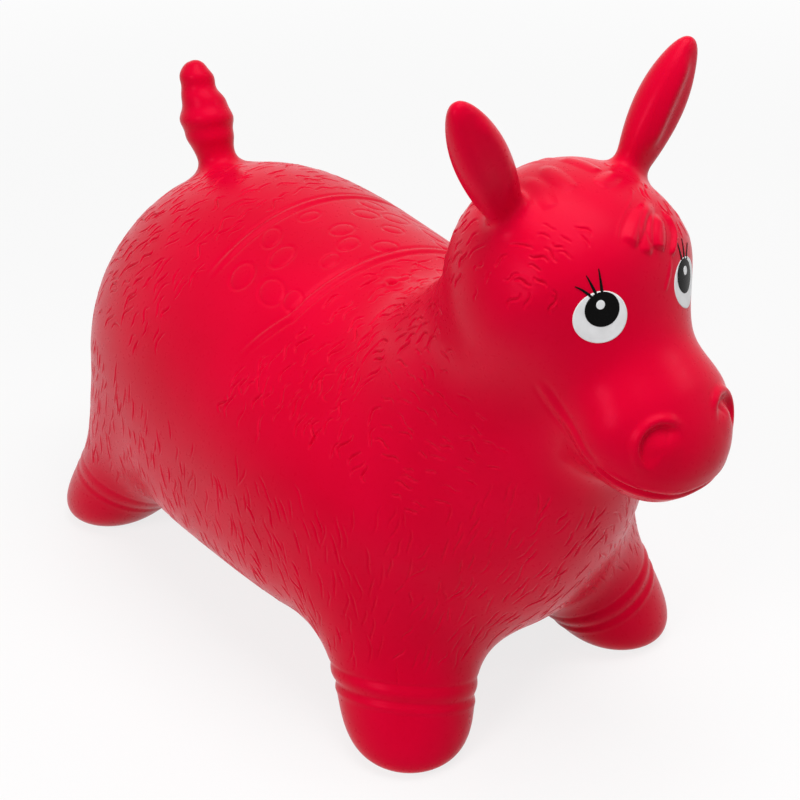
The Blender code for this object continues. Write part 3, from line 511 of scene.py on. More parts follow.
def lock_height(points, spots, half_width, height):
    """A tapering lock of hair laid along a path, with a groove at its edge."""
    path, _ = settle(skin_field, path_of(spots), 2)
    near, gap, share = along_path(points, path, 2.0 * half_width * MM)
    swell = np.sin(np.pi * np.clip(LOCK_SWELL[0] + LOCK_SWELL[1] * share, 0.0, 1.0))
    across = gap / (half_width * MM * (LOCK_TAPER[0] + LOCK_TAPER[1] * swell))
    body = np.clip(1.0 - across ** 2, 0.0, 1.0) ** LOCK_CROWN
    groove = LOCK_GROOVE[0] * gaussian(across - LOCK_GROOVE[1], LOCK_GROOVE[2])
    result = np.zeros(len(points))
    result[near] = height * MM * window(share, *LOCK_ENDS) * (body - groove)
    return result


def mane_locks():
    """Two rows of locks down the crest of the neck, lying back over each other."""
    locks = []
    for row in range(MANE_ROWS):
        share = row / (MANE_ROWS - 1.0)
        y = MANE_TOP[0] + MANE_RUN[0] * share
        z = MANE_TOP[1] + MANE_RUN[1] * share ** MANE_CURVE
        for sign in (1, -1):
            out = MANE_OUT[0] + MANE_OUT[1] * math.sin(MANE_OUT[2] * row + sign)
            spots = [mirrored((part * out + aside, y + back, z + up), sign)
                     for part, aside, back, up in MANE_SPOTS]
            locks.append((spots, *MANE_LOCK))
    return locks


def nostril_height(points, sign):
    """A rounded rim that curls over a hollow, around the front corner of the muzzle."""
    offset = points - mirrored(NOSTRIL, sign) * MM
    near = np.flatnonzero(lengths(offset) < NOSTRIL_REACH * NOSTRIL_RADIUS)
    offset = offset[near]
    up = unit(HEAD_UP + mirrored(NOSTRIL_TILT, sign))
    back = unit(np.cross(up, mirrored(NOSTRIL_OUTWARD, sign)))
    radius = lengths(offset) / NOSTRIL_RADIUS
    angle = np.arctan2(offset @ up, offset @ back * sign)
    arc = smoothstep(*NOSTRIL_ARC, np.cos(angle - NOSTRIL_TURN))
    rim = NOSTRIL_RIM[0] * gaussian(radius - NOSTRIL_RIM[1], NOSTRIL_RIM[2])
    hollow = NOSTRIL_HOLLOW[0] * smoothstep(*NOSTRIL_HOLLOW[1:], radius) * smoothstep(0.0, 1.0, radius)
    dome = NOSTRIL_DOME[0] * smoothstep(*NOSTRIL_DOME[1:], radius)
    result = np.zeros(len(points))
    result[near] = MM * (arc * (rim - hollow) + dome)
    return result


def head_height(points):
    height = np.zeros(len(points))
    for lock in FORELOCKS:
        rise = lock_height(points, *lock)
        height = np.maximum(height, rise) + np.minimum(rise, 0.0)
    for lock in mane_locks():
        height = np.maximum(height, lock_height(points, *lock))
    for sign in (1.0, -1.0):
        height += nostril_height(points, sign)
        cheek = path_of([mirrored(spot, sign) for spot in CHEEK])
        add_crease(height, points, cheek, CHEEK_REACH, CHEEK_ENDS, CHEEK_BANDS)
    near, gap, share = along_path(points, path_of(MOUTH, MOUTH_STEPS), MOUTH_REACH)
    below = points[near, 2] < np.interp(np.abs(points[near, 0]), *MOUTH_LINE)
    lips = np.where(below, bands_height(gap, LOWER_LIP), bands_height(gap, UPPER_LIP))
    height[near] += window(share, *MOUTH_ENDS) * lips
    return height


# Relief of the legs: a raised roll above each hoof and a line below it, both fainter on the inner side
ROLL_HEIGHT = 52.0 * MM
ROLL_LEAN = (0.36, 0.25)
ROLL_BANDS = ((1.5, 0.0, 4.0), (-1.2, -7.0, 2.4), (-0.8, 6.0, 2.0), (0.9, -12.0, 2.4))
ROLL_STRENGTH = {"front": 0.7, "rear": 0.25}
ROLL_LEAST = 0.25
ROLL_FADE = 8.0
ROLL_FADE_FROM = 0.02
LEG_REACH = 0.085
LEG_TOP = 0.10


def leg_height(points):
    height = np.zeros(len(points))
    for end, end_sign, side_sign, foot in FEET:
        offset = points - foot
        near = np.flatnonzero((np.hypot(offset[:, 0], offset[:, 1]) < LEG_REACH) & (points[:, 2] < LEG_TOP))
        x, y, z = offset[near].T
        level = z - side_sign * ROLL_LEAN[0] * x - end_sign * ROLL_LEAN[1] * y
        shown = np.clip((x * side_sign + ROLL_FADE_FROM) * ROLL_FADE + 1.0, ROLL_LEAST, 1.0)
        height[near] += ROLL_STRENGTH[end] * shown * bands_height(level - ROLL_HEIGHT, ROLL_BANDS)
    return height


# Relief of the ears and the tail
LOCK_RELIEF_REACH = 0.11
EAR_CREASE = ((-3.5, -6.0, 82.0), (-6.5, -11.5, 45.0), (-2.0, -11.0, 14.0))
EAR_CREASE_BANDS = ((1.7, 0.0, 4.5),)
EAR_CREASE_REACH = 20 * MM
EAR_CREASE_ENDS = (0.02, 0.2, 0.75, 1.0)
EAR_BOWL_BANDS = ((-0.7, 3.0, 7.0),)
EAR_BOWL_ENDS = (0.014, 0.030, 0.070, 0.088)
EAR_FRONT = (0.0, -0.006)
TAIL_SWIRL = 0.6 * MM
TAIL_BAND = 17.0 * MM
TAIL_WOUND = (0.012, 0.034, 0.070, 0.092)
TAIL_REACH = 0.03


def ear_height(points, ear, sign):
    """A crease from the tip down the inner edge of an ear, and a shallow bowl in its front."""
    local = ear.local(points)
    x, y, z = local.T
    height = np.zeros(len(points))
    crease = path_of([mirrored(spot, sign) for spot in EAR_CREASE])
    add_crease(height, local, crease, EAR_CREASE_REACH, EAR_CREASE_ENDS, EAR_CREASE_BANDS)
    bowl = window(z, *EAR_BOWL_ENDS) * smoothstep(*EAR_FRONT, y) * bands_height(sign * x, EAR_BOWL_BANDS)
    return height + np.where(lengths(local) < LOCK_RELIEF_REACH, bowl, 0.0)


def tail_height(points):
    """A lock wound around the tail."""
    local = TAIL.local(points)
    x, y, z = local.T
    near = (lengths(local) < LOCK_RELIEF_REACH) & (np.hypot(x, y) < TAIL_REACH)
    phase = np.arctan2(y, x) + 2.0 * np.pi * z / TAIL_BAND
    return np.where(near, TAIL_SWIRL * window(z, *TAIL_WOUND) * np.cos(phase), 0.0)


# Relief of the pit in front of the saddle, with the folds that run into it
DIMPLE = (-11.0, -9.0, 279.8)
DIMPLE_REACH = 24 * MM
DIMPLE_BANDS = ((-2.4, 0.0, 2.6), (0.7, 5.0, 2.2))
DIMPLE_RAYS = 5.0
DIMPLE_SWAY = 1.3
DIMPLE_RAY_BANDS = ((0.22, 10.0, 6.0),)
DIMPLE_FOLD = ((-11, -9, 280), (6, -13, 283), (26, -20, 290))
DIMPLE_FOLD_BANDS = ((0.4, 3.2, 1.6), (-1.1, 0.0, 1.3))
DIMPLE_FOLD_REACH = 8 * MM
DIMPLE_FOLD_ENDS = (-1.0, 0.0, 0.5, 1.0)


def dimple_height(points):
    """A small pit in front of the saddle with folds running into it."""
    offset = points - np.array(DIMPLE) * MM
    radius = lengths(offset)
    near = np.flatnonzero(radius < DIMPLE_REACH)
    angle = np.arctan2(offset[near, 1], offset[near, 0])
    rays = np.cos(DIMPLE_RAYS * angle + DIMPLE_SWAY * np.sin(2.0 * angle))
    result = np.zeros(len(points))
    result[near] = bands_height(radius[near], DIMPLE_BANDS)
    result[near] += rays * bands_height(radius[near], DIMPLE_RAY_BANDS)
    add_crease(result, points, path_of(DIMPLE_FOLD), DIMPLE_FOLD_REACH, DIMPLE_FOLD_ENDS, DIMPLE_FOLD_BANDS)
    return result


# The relief as a whole, which leaves the soles flat
SOLE_FLAT = 4 * MM


def relief(points):
    """How far the moulded skin stands out from its plain form at each point."""
    height = hem_height(points) + medallion_height(points) + dimple_height(points)
    height += head_height(points) + leg_height(points) + tail_height(points)
    for side, sign in SIDES:
        height += ear_height(points, EARS[side], sign)
    height[points[:, 2] < SOLE_FLAT] = 0.0
    return height


# Hair, pressed into the skin as short strokes
VALVE_PLACE = np.array((0.0, 0.190, 0.03454))
NECK_SPLIT = ((0.0, -0.070, 0.262), (0.0, -0.75, 0.66))
BROW_MIDDLE = (0.060, -0.190, 0.350)
HAIR_SEEDS = 9000
HAIR_LEGS = 8
HAIR_WIDTH = 0.68 * MM
HAIR_LIP_AT = 1.7 * MM
HAIR_LIP_WIDTH = 0.7 * MM
HAIR_LIP_SHARE = 0.28
HAIR_REACH = 3.4 * MM
HAIR_BAND = 3.1 * MM
HAIR_CORE = 1.25 * MM
HAIR_BEND = (-0.40, 0.35)
HAIR_TURN = math.radians(11.0)
HAIR_WAVE = 0.085
HAIR_TAPER = 0.7
HAIR_LENGTH_SPREAD = (0.65, 1.35)
HAIR_DEPTH_SPREAD = (0.6, 1.2)
HAIR_ROOM = 0.9
HAIR_STAGGER = 0.45
BARE_DIMPLE = 11 * MM
BARE_VALVE = 26 * MM
BARE_HOOF = 0.072
BARE_LOCK = 0.024
BACK_TILT = (0.10, 0.22)

# Straight kinds of hair, by how far they point outward, rearward and up, and what pulls the belly's aside
HAIR_LEANS = {"chest": (-0.5, 0.0, 1.0), "neck": (0.0, 1.0, 0.15), "crest": (0.15, 0.6, -0.8)}
BELLY_PULLS = ((0.30, 0.190, 0.05), (-0.45, -0.050, 0.05))

# Each kind of hair: its density, the length, spacing and depth of its strokes in millimetres, and its curl
HAIR_KINDS = {
    "rump": (1.0, 16.0, 4.6, 0.85, 1.0),
    "shoulder": (1.0, 17.0, 4.2, 1.00, 1.0),
    "belly": (1.0, 18.0, 4.0, 0.62, 0.4),
    "chest": (0.85, 17.0, 4.6, 0.62, 0.5),
    "neck": (0.9, 11.0, 4.6, 0.75, 0.8),
    "crest": (1.2, 13.0, 4.4, 1.30, 1.0),
    "brow": (0.95, 12.0, 4.0, 0.90, 0.8),
}

# The edges of the haired areas, from bare skin to full hair, in metres or as a part of the skin's direction
HAIR_EDGES = {
    "behind_neck": (0.012, -0.004),
    "rump_start": (0.104, 0.110), "rump_side": (0.200, 0.238), "rump_end": (0.35, 0.60),
    "rump_low": (0.070, 0.100),
    "shoulder_end": (-0.006, -0.013), "shoulder_side": (0.198, 0.236),
    "belly_low": (0.030, 0.042), "belly_high": (0.186, 0.156), "belly_front": (-0.62, -0.42),
    "chest_front": (-0.35, -0.55), "chest_low": (0.060, 0.080), "chest_high": (0.235, 0.205),
    "chest_end": (0.075, 0.055),
    "neck_start": (-0.004, 0.010), "neck_end": (0.085, 0.070), "neck_side": (-0.75, -0.5),
    "crest_start": (-0.030, -0.010), "crest_rear": (0.10, 0.30), "crest_up": (0.05, 0.25),
    "crest_high": (0.400, 0.385),
    "brow_start": (0.095, 0.110), "brow_low": (0.345, 0.360), "brow_side": (0.25, 0.40),
    "brow_eye": (0.026, 0.032),
}


def within(**places):
    """How far values lie inside the named edges, from 0 on bare skin to 1 in full hair."""
    return np.prod([smoothstep(*HAIR_EDGES[edge], value) for edge, value in places.items()], axis=0)


def hair_growth(points, normals):
    """How thick each kind of hair grows at each place."""
    x, y, z = points.T
    side, rear, up = normals.T
    ahead = (points - np.array(NECK_SPLIT[0])) @ np.array(NECK_SPLIT[1])
    from_eye = lengths(np.stack([np.abs(x), y, z], 1) - EYE_MIDDLE)
    return {
        "rump": within(rump_start=y) * np.maximum(within(rump_side=z), within(rump_end=rear, rump_low=z)),
        "shoulder": within(behind_neck=ahead, shoulder_end=y - front_hem(x), shoulder_side=z),
        "belly": within(behind_neck=ahead, belly_low=z, belly_high=z, belly_front=rear),
        "chest": within(chest_front=rear, chest_low=z, chest_high=z, chest_end=ahead),
        "neck": within(neck_start=ahead, neck_end=ahead, neck_side=rear),
        "crest": within(crest_start=ahead, crest_rear=rear, crest_up=up, crest_high=z),
        "brow": within(brow_start=ahead, brow_low=z, brow_side=np.abs(side), brow_eye=from_eye),
    }


def directions(*parts):
    """Directions from their x, y and z parts, of which some may be the same everywhere."""
    return np.stack(np.broadcast_arrays(*parts), 1)


def hair_flow(points, normals):
    """The way each kind of hair lies at each place."""
    outward, y = np.sign(points[:, 0]), points[:, 1]
    hoop = np.cross(normals, directions(0.0, 1.0, smoothstep(*BACK_TILT, y)))
    pull = sum(strength * gaussian(y - place, width) for strength, place, width in BELLY_PULLS)
    eye = directions(BROW_MIDDLE[0] * outward, BROW_MIDDLE[1], BROW_MIDDLE[2])
    flows = {name: directions(out * outward, rear, up) for name, (out, rear, up) in HAIR_LEANS.items()}
    return flows | {
        "rump": hoop,
        "shoulder": hoop,
        "belly": directions(0.0, -pull, 1.0),
        "brow": np.cross(normals, points - eye),
    }


def bare_places(points):
    """Where no hair grows: on the feet, the tail and ears, and around the valve and the dimple."""
    bare = lengths(points - VALVE_PLACE) < BARE_VALVE
    bare |= lengths(points - np.array(DIMPLE) * MM) < BARE_DIMPLE
    for *_, foot in FEET:
        offset = points - foot
        bare |= (np.hypot(offset[:, 0], offset[:, 1]) < LEG_REACH) & (points[:, 2] < BARE_HOOF)
    for lock in (TAIL, *EARS.values()):
        local = lock.local(points)
        bare |= (np.hypot(local[:, 0], local[:, 1]) < BARE_LOCK) & (np.abs(local[:, 2]) < LOCK_REACH)
    return bare


def with_room(rows, places, flow, length, spacing):
    """The strokes that find room between those taken before them."""
    kept = []
    for row in rows:
        offset = places[kept] - places[row]
        along = np.abs(offset @ flow[row])
        across = np.sqrt(np.maximum((offset ** 2).sum(1) - along ** 2, 0.0))
        room = 0.5 * (length[kept] + length[row])
        beside = across < spacing[row] * (1.0 - HAIR_STAGGER * along / room)
        if not (beside & (along < HAIR_ROOM * room)).any():
            kept.append(row)
    return kept


def stroke_paths(places, flow, aside, length, bend, wave):
    """The path of each stroke on the skin, bent and waved to one side."""
    share = np.linspace(-0.5, 0.5, HAIR_LEGS + 1)[None, :, None]
    length, bend, wave = (values[:, None, None] for values in (length, bend, wave))
    lift = length * (bend * (share ** 2 - 0.25) + wave * np.sin(2.0 * np.pi * share))
    paths = places[:, None] + flow[:, None] * length * share + aside[:, None] * lift
    settled, _ = settle(skin_field, paths.reshape(-1, 3), 2)
    return settled.reshape(paths.shape)


def grown_hair(points):
    """Strokes of hair over the skin, each a path on it and a depth, spaced so that none cross."""
    chance = np.random.default_rng(SEED)
    picked = chance.choice(len(points), HAIR_SEEDS, replace=False)
    places, normals = settle(skin_field, points[picked], 1)
    density, *sizes = np.array(list(HAIR_KINDS.values())).T
    growth, flows = hair_growth(places, normals), hair_flow(places, normals)
    growth = np.array([growth[name] for name in HAIR_KINDS]) * density[:, None]
    kind, rows = growth.argmax(0), np.arange(len(places))
    thickness = growth[kind, rows] * ~bare_places(places)
    flow = np.array([flows[name] for name in HAIR_KINDS])[kind, rows]
    length, spacing, depth, curl = (size[kind] for size in sizes)
    flow -= normals * (flow * normals).sum(1)[:, None]
    flow /= lengths(flow)[:, None]
    aside = np.cross(normals, flow)
    turn = chance.normal(0.0, HAIR_TURN, len(places))[:, None]
    flow, aside = flow * np.cos(turn) + aside * np.sin(turn), aside * np.cos(turn) - flow * np.sin(turn)
    length = length * MM * chance.uniform(*HAIR_LENGTH_SPREAD, len(places))
    depth = depth * MM * chance.uniform(*HAIR_DEPTH_SPREAD, len(places))
    bend = -curl * chance.normal(*HAIR_BEND, len(places))
    wave = curl * chance.normal(0.0, HAIR_WAVE, len(places))
    wanted = np.flatnonzero(chance.uniform(0.0, 1.0, len(places)) < thickness)
    kept = with_room(wanted, places, flow, length, spacing * MM)
    paths = stroke_paths(places[kept], flow[kept], aside[kept], length[kept], bend[kept], wave[kept])
    return list(zip(paths, depth[kept]))


def near_hair(points, hair):
    """For each stroke of hair: the points near it, their distance to it and share along it, its depth."""
    order = np.argsort(points[:, 1])
    places = points[order, 1]
    for path, depth in hair:
        ends = path[:, 1].min() - HAIR_REACH, path[:, 1].max() + HAIR_REACH
        first, last = np.searchsorted(places, ends)
        rows = order[first:last]
        near, gap, share = along_path(points[rows], path, HAIR_REACH)
        yield rows[near], gap, share, depth


def hair_height(points, hair):
    height = np.zeros(len(points))
    for rows, gap, share, depth in near_hair(points, hair):
        height[rows] += depth * np.sin(np.pi * share) ** HAIR_TAPER * (
            HAIR_LIP_SHARE * gaussian(gap - HAIR_LIP_AT, HAIR_LIP_WIDTH) - gaussian(gap, HAIR_WIDTH))
    return height


def hair_distance(points, hair):
    distance = np.full(len(points), HAIR_REACH)
    for rows, gap, _, _ in near_hair(points, hair):
        distance[rows] = np.minimum(distance[rows], gap)
    return distance


# The surface of the whole skin, from the fields and the relief
GRID_LOW = (-0.158, -0.300, -0.006)
GRID_HIGH = (0.158, 0.306, 0.484)
DETAIL_RELIEF = 0.06 * MM
VALVE_OUTWARD = unit(JOINTS["valve_plug_pull"]["axis"])
VALVE_FLAT = (12.0 * MM, 20.0 * MM)
VALVE_FLAT_REACH = 20 * MM
VALVE_HOLE = 7.5 * MM


def first_corners(totals):
    """Where each face's corners start."""
    return np.cumsum(totals) - totals


def next_corners(totals):
    """For each corner the one after it around its face."""
    starts = first_corners(totals)
    following = np.arange(totals.sum()) + 1
    following[starts + totals - 1] = starts
    return following


def refined(points, loops, totals, marked):
    """Split the marked four-sided faces in four, and give their neighbours the new edge points."""
    count = len(points)
    following = next_corners(totals)
    keys = np.minimum(loops, loops[following]) * count + np.maximum(loops, loops[following])
    in_marked = np.repeat(marked, totals)
    split = np.unique(keys[in_marked])
    found = np.minimum(np.searchsorted(split, keys), len(split) - 1)
    middles = np.where(split[found] == keys, count + found, -1)
    edge_points = (points[split // count] + points[split % count]) / 2.0
    cells = first_corners(totals)[marked][:, None] + np.arange(4)
    centres = count + len(split) + np.arange(len(cells))
    corners, sides = loops[cells], middles[cells]
    centre_points = points[corners].mean(1)
    small = np.concatenate([
        np.stack([corners[:, i], sides[:, i], centres, sides[:, i - 1]], 1) for i in range(4)])
    pairs = np.stack([loops[~in_marked], middles[~in_marked]], 1)
    rest_totals = np.add.reduceat((pairs >= 0).sum(1), first_corners(totals[~marked]))
    points = np.concatenate([points, edge_points, centre_points])
    loops = np.concatenate([small.ravel(), pairs[pairs >= 0]])
    return points, loops, np.concatenate([np.full(len(small), 4), rest_totals])


def face_centres(points, loops, totals):
    return np.add.reduceat(points[loops], first_corners(totals)) / totals[:, None]


def fitted_to_valve(points):
    """The skin lies flat around the valve, so that the seat's lip covers its edge."""
    offset = points - VALVE_PLACE
    level = offset @ VALVE_OUTWARD
    radius = lengths(offset - level[:, None] * VALVE_OUTWARD)
    share = np.where(np.abs(level) < VALVE_FLAT_REACH, 1.0 - smoothstep(*VALVE_FLAT, radius), 0.0)
    return points - (level * share)[:, None] * VALVE_OUTWARD


def moulded_skin():
    """Points, face corners and face sizes of the whole skin, with its relief."""
    values = sampled_field(skin_field, GRID_LOW, GRID_HIGH)
    points, quads = surface_of(values, GRID_LOW)
    points, _ = settle(skin_field, points, 2)
    loops, totals = quads.ravel(), np.full(len(quads), 4)
    hair = grown_hair(points)
    centres = face_centres(points, loops, totals)
    detailed = np.abs(relief(points))[quads].max(1) > DETAIL_RELIEF
    detailed |= np.abs(relief(centres)) > DETAIL_RELIEF
    detailed |= hair_distance(centres, hair) < HAIR_BAND
    points, loops, totals = refined(points, loops, totals, detailed)
    close = hair_distance(face_centres(points, loops, totals), hair) < HAIR_CORE
    points, loops, totals = refined(points, loops, totals, close & (totals == 4))
    points, normals = settle(skin_field, points, 1)
    points = points + normals * (relief(points) + hair_height(points, hair))[:, None]
    return fitted_to_valve(points), loops, totals


def filled_mesh(name, points, loops, totals):
    mesh = bpy.data.meshes.new(name)
    mesh.vertices.add(len(points))
    mesh.vertices.foreach_set("co", np.asarray(points, np.float32).ravel())
    mesh.loops.add(len(loops))
    mesh.loops.foreach_set("vertex_index", np.asarray(loops, np.int32))
    mesh.polygons.add(len(totals))
    mesh.polygons.foreach_set("loop_start", first_corners(totals).astype(np.int32))
    mesh.polygons.foreach_set("loop_total", np.asarray(totals, np.int32))
    mesh.polygons.foreach_set("use_smooth", np.ones(len(totals), bool))
    mesh.update(calc_edges=True)
    mesh.validate()
    return mesh


def normals_of(points, loops, totals):
    """Normals at the points, in which each face counts by its area, so that slivers have no say."""
    areas = np.cross(points[loops], points[loops[next_corners(totals)]])
    shared = np.repeat(np.add.reduceat(areas, first_corners(totals)), totals, axis=0)
    normals = np.stack([np.bincount(loops, shared[:, axis], len(points)) for axis in range(3)], 1)
    return normals / lengths(normals)[:, None]


def add_piece(name, mesh, slot, material):
    piece = bpy.data.objects.new(name, mesh)
    bpy.context.scene.collection.objects.link(piece)
    mesh.materials.append(material)
    rest = mesh.attributes.new("rest_place", "FLOAT_VECTOR", "POINT")
    places = np.empty(len(mesh.vertices) * 3, np.float32)
    mesh.vertices.foreach_get("co", places)
    rest.data.foreach_set("vector", places)
    return piece


# Where the skin bends: from a start to an end, within a reach
LEG_START = 0.062
LEG_END = 0.030
LEG_BEND = (-0.50, -0.35, 0.80)
LEG_BEND_REACH = 1.0
EAR_START, EAR_END = -0.006, 0.014
TAIL_START, TAIL_END = 0.002, 0.020


def bending_zones():
    """Each zone: its piece, moving body, start and end of its bend, its reach, and replaced nodes."""
    zones = []
    for side, side_sign in SIDES:
        ear = EARS[side]
        name = side + "_ear"
        zones.append((name + "_skin", name, ear.at(EAR_START), ear.at(EAR_END), LOCK_REACH, (name,)))
        for end, end_sign in ENDS:
            foot = foot_at(end, side_sign)
            bend = unit((side_sign * LEG_BEND[0], end_sign * LEG_BEND[1], LEG_BEND[2]))
            name = end + "_" + side
            zones.append((name + "_leg_skin", name + "_hoof", foot + bend * LEG_START,
                          foot + bend * LEG_END, LEG_BEND_REACH, (name + "_leg", name + "_hoof")))
    zones.append(("tail_skin", "tail", TAIL.at(TAIL_START), TAIL.at(TAIL_END), LOCK_REACH, ("tail",)))
    return zones


def past(points, zone):
    """Which points lie beyond the start of a bending zone."""
    _, _, start, end, reach, _ = zone
    return ((points - start) @ (end - start) > 0.0) & (lengths(points - start) < reach)


def part_of(points, normals, loops, totals, chosen):
    """The points, normals, corners and sizes of the faces chosen from a mesh."""
    kept = loops[np.repeat(chosen, totals)]
    used, renumbered = np.unique(kept, return_inverse=True)
    return points[used], normals[used], renumbered, totals[chosen]


def faces_touching(flags, loops, totals):
    """Faces with at least one flagged corner."""
    return np.logical_or.reduceat(flags[loops], first_corners(totals))


BODY_NAMES = {"head_and_neck_skin": ("neck_skin", "head_skin"), "body_skin": ("torso_skin",)}


def parted_skin(points, loops, totals, zones):
    """Each piece of the skin by its name, with the faces that belong to it."""
    near_valve = lengths(points - VALVE_PLACE) < VALVE_HOLE
    free = ~faces_touching(near_valve, loops, totals)
    choices = {}
    for zone in zones:
        choices[zone[0]] = free & faces_touching(past(points, zone), loops, totals)
        free &= ~choices[zone[0]]
    spot, direction = np.array(NECK_SPLIT[0]), np.array(NECK_SPLIT[1])
    ahead = faces_touching((points - spot) @ direction > 0.0, loops, totals)
    choices["head_and_neck_skin"] = free & ahead
    choices["body_skin"] = free & ~ahead
    return choices


def add_skin(material):
    """Add the whole skin in its pieces, and give a search tree of it."""
    points, loops, totals = moulded_skin()
    normals = normals_of(points, loops, totals)
    zones = bending_zones()
    pieces = {}
    for name, chosen in parted_skin(points, loops, totals, zones).items():
        part_points, part_normals, part_loops, part_totals = part_of(points, normals, loops, totals, chosen)
        mesh = filled_mesh(name, part_points, part_loops, part_totals)
        mesh.normals_split_custom_set_from_vertices(part_normals.tolist())
        pieces[name] = add_piece(name, mesh, "red_pvc", material)
    for name, body, start, end, _, nodes in zones:
        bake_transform(pieces[name], "skin", body, start=tuple(start), end=tuple(end))
        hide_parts(*nodes)
    for name, nodes in BODY_NAMES.items():
        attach(pieces[name], "skin")
        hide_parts(*nodes)
    faces = [part.tolist() for part in np.split(loops, first_corners(totals)[1:])]
    return BVHTree.FromPolygons(points.tolist(), faces)


# The printed eyes, with their places and sizes in millimetres across and up the eye, and the ink's height
EYE_OVALS = (
    ("white", (0.0, 0.0), (17.2, 15.7), 0.25, "white_ink"),
    ("pupil", (1.0, 4.6), (11.2, 10.6), 0.40, "black_ink"),
    ("catchlight", (-0.2, 7.6), (2.8, 2.8), 0.55, "white_ink"),
)
LASHES = (
    ("outer_lash", ((-4.6, 11.6), (-9.4, 17.0), (-15.0, 19.8))),
    ("middle_lash", ((-2.3, 13.4), (-5.0, 19.6), (-7.6, 25.4))),
    ("inner_lash", ((1.2, 14.2), (0.9, 21.0), (0.4, 28.4))),
)
LASH_WIDTH = 2.4
LASH_HEIGHT = 0.35
LASH_STEPS = 12
LASH_TIP = 0.25
LASH_TAPER = 0.8
LASH_SECTION = ((-1.0, -0.12), (-0.7, LASH_HEIGHT), (0.0, LASH_HEIGHT), (0.7, LASH_HEIGHT), (1.0, -0.12))
PRINT_REACH = 0.030
PRINT_RINGS = 12
PRINT_SPOKES = 64
PRINT_RIM = -0.15
PRINT_CROWDING = 1.6


class EyeFrame:
    """A place on the side of the head, and the directions across and up an eye printed there."""

    def __init__(self, tree, sign):
        self.tree = tree
        self.middle, self.outward, _, _ = tree.find_nearest(Vector(mirrored(EYE_MIDDLE, sign)))
        upward = Vector((0.0, 0.0, 1.0))
        self.up = (upward - self.outward * upward.dot(self.outward)).normalized()
        self.across = self.up.cross(self.outward) * -sign

    def on_skin(self, across, up, lift):
        """A point of the skin at a place on the eye in millimetres, lifted off the skin."""
        start = self.middle + self.across * (across * MM) + self.up * (up * MM) + self.outward * PRINT_REACH
        place, normal, _, _ = self.tree.ray_cast(start, -self.outward, 2.0 * PRINT_REACH)
        return place + self.outward * (lift * MM)


def printed_oval(eye, place, size, lift):
    """Points and faces of an oval of ink, rounded down to the skin at its rim."""
    points = [eye.on_skin(place[0], place[1], lift)]
    for ring in range(1, PRINT_RINGS + 1):
        share = 1.0 - (1.0 - ring / PRINT_RINGS) ** PRINT_CROWDING
        height = lift if ring < PRINT_RINGS else PRINT_RIM
        for spoke in range(PRINT_SPOKES):
            angle = 2.0 * math.pi * spoke / PRINT_SPOKES
            points.append(eye.on_skin(place[0] + share * size[0] * math.cos(angle),
                                      place[1] + share * size[1] * math.sin(angle), height))
    faces = [(0, 1 + spoke, 1 + (spoke + 1) % PRINT_SPOKES) for spoke in range(PRINT_SPOKES)]
    for ring in range(PRINT_RINGS - 1):
        start = 1 + ring * PRINT_SPOKES
        for spoke in range(PRINT_SPOKES):
            here, after = start + spoke, start + (spoke + 1) % PRINT_SPOKES
            faces.append((here, here + PRINT_SPOKES, after + PRINT_SPOKES, after))
    return points, faces


def printed_lash(eye, spots):
    """Points and faces of a lash that tapers from its root to its tip."""
    spots = np.array(spots, float)
    points = []
    for step in range(LASH_STEPS + 1):
        t = step / LASH_STEPS
        middle = (1 - t) ** 2 * spots[0] + 2 * t * (1 - t) * spots[1] + t ** 2 * spots[2]
        ahead = (1 - t) * (spots[1] - spots[0]) + t * (spots[2] - spots[1])
        side = np.array((-ahead[1], ahead[0])) / np.linalg.norm(ahead)
        half = LASH_WIDTH * (LASH_TIP + (1.0 - LASH_TIP) * (1.0 - t) ** LASH_TAPER) / 2.0
        for share, height in LASH_SECTION:
            spot = middle + side * half * share
            points.append(eye.on_skin(spot[0], spot[1], height))
    width = len(LASH_SECTION)
    starts = [step * width + column for step in range(LASH_STEPS) for column in range(width - 1)]
    return points, [(start, start + 1, start + width + 1, start + width) for start in starts]


def add_print(node, eye, points, faces, slot, material):
    """Add a printed piece in the place of its CAD node."""
    name = node + "_print"
    mesh = bpy.data.meshes.new(name)
    mesh.from_pydata([tuple(point) for point in points], [], faces)
    film = bmesh.new()
    film.from_mesh(mesh)
    bmesh.ops.recalc_face_normals(film, faces=film.faces)
    if sum(face.normal.dot(eye.outward) for face in film.faces) < 0.0:
        bmesh.ops.reverse_faces(film, faces=film.faces)
    film.to_mesh(mesh)
    film.free()
    for polygon in mesh.polygons:
        polygon.use_smooth = True
    piece = add_piece(name, mesh, slot, material)
    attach(piece, "skin")
    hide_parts(node)


def add_eyes(tree, inks):
    for side, sign in SIDES:
        eye = EyeFrame(tree, sign)
        for part, place, size, lift, slot in EYE_OVALS:
            add_print(side + "_eye_" + part, eye, *printed_oval(eye, place, size, lift), slot, inks[slot])
        for part, spots in LASHES:
            add_print(side + "_eye_" + part, eye, *printed_lash(eye, spots), "black_ink", inks["black_ink"])


# Materials, and the numbers of the sockets of a colour mix
NOISE_ROUGHNESS = 0.55
MIX_FACTOR, MIX_FIRST, MIX_SECOND, MIX_RESULT = 0, 6, 7, 2


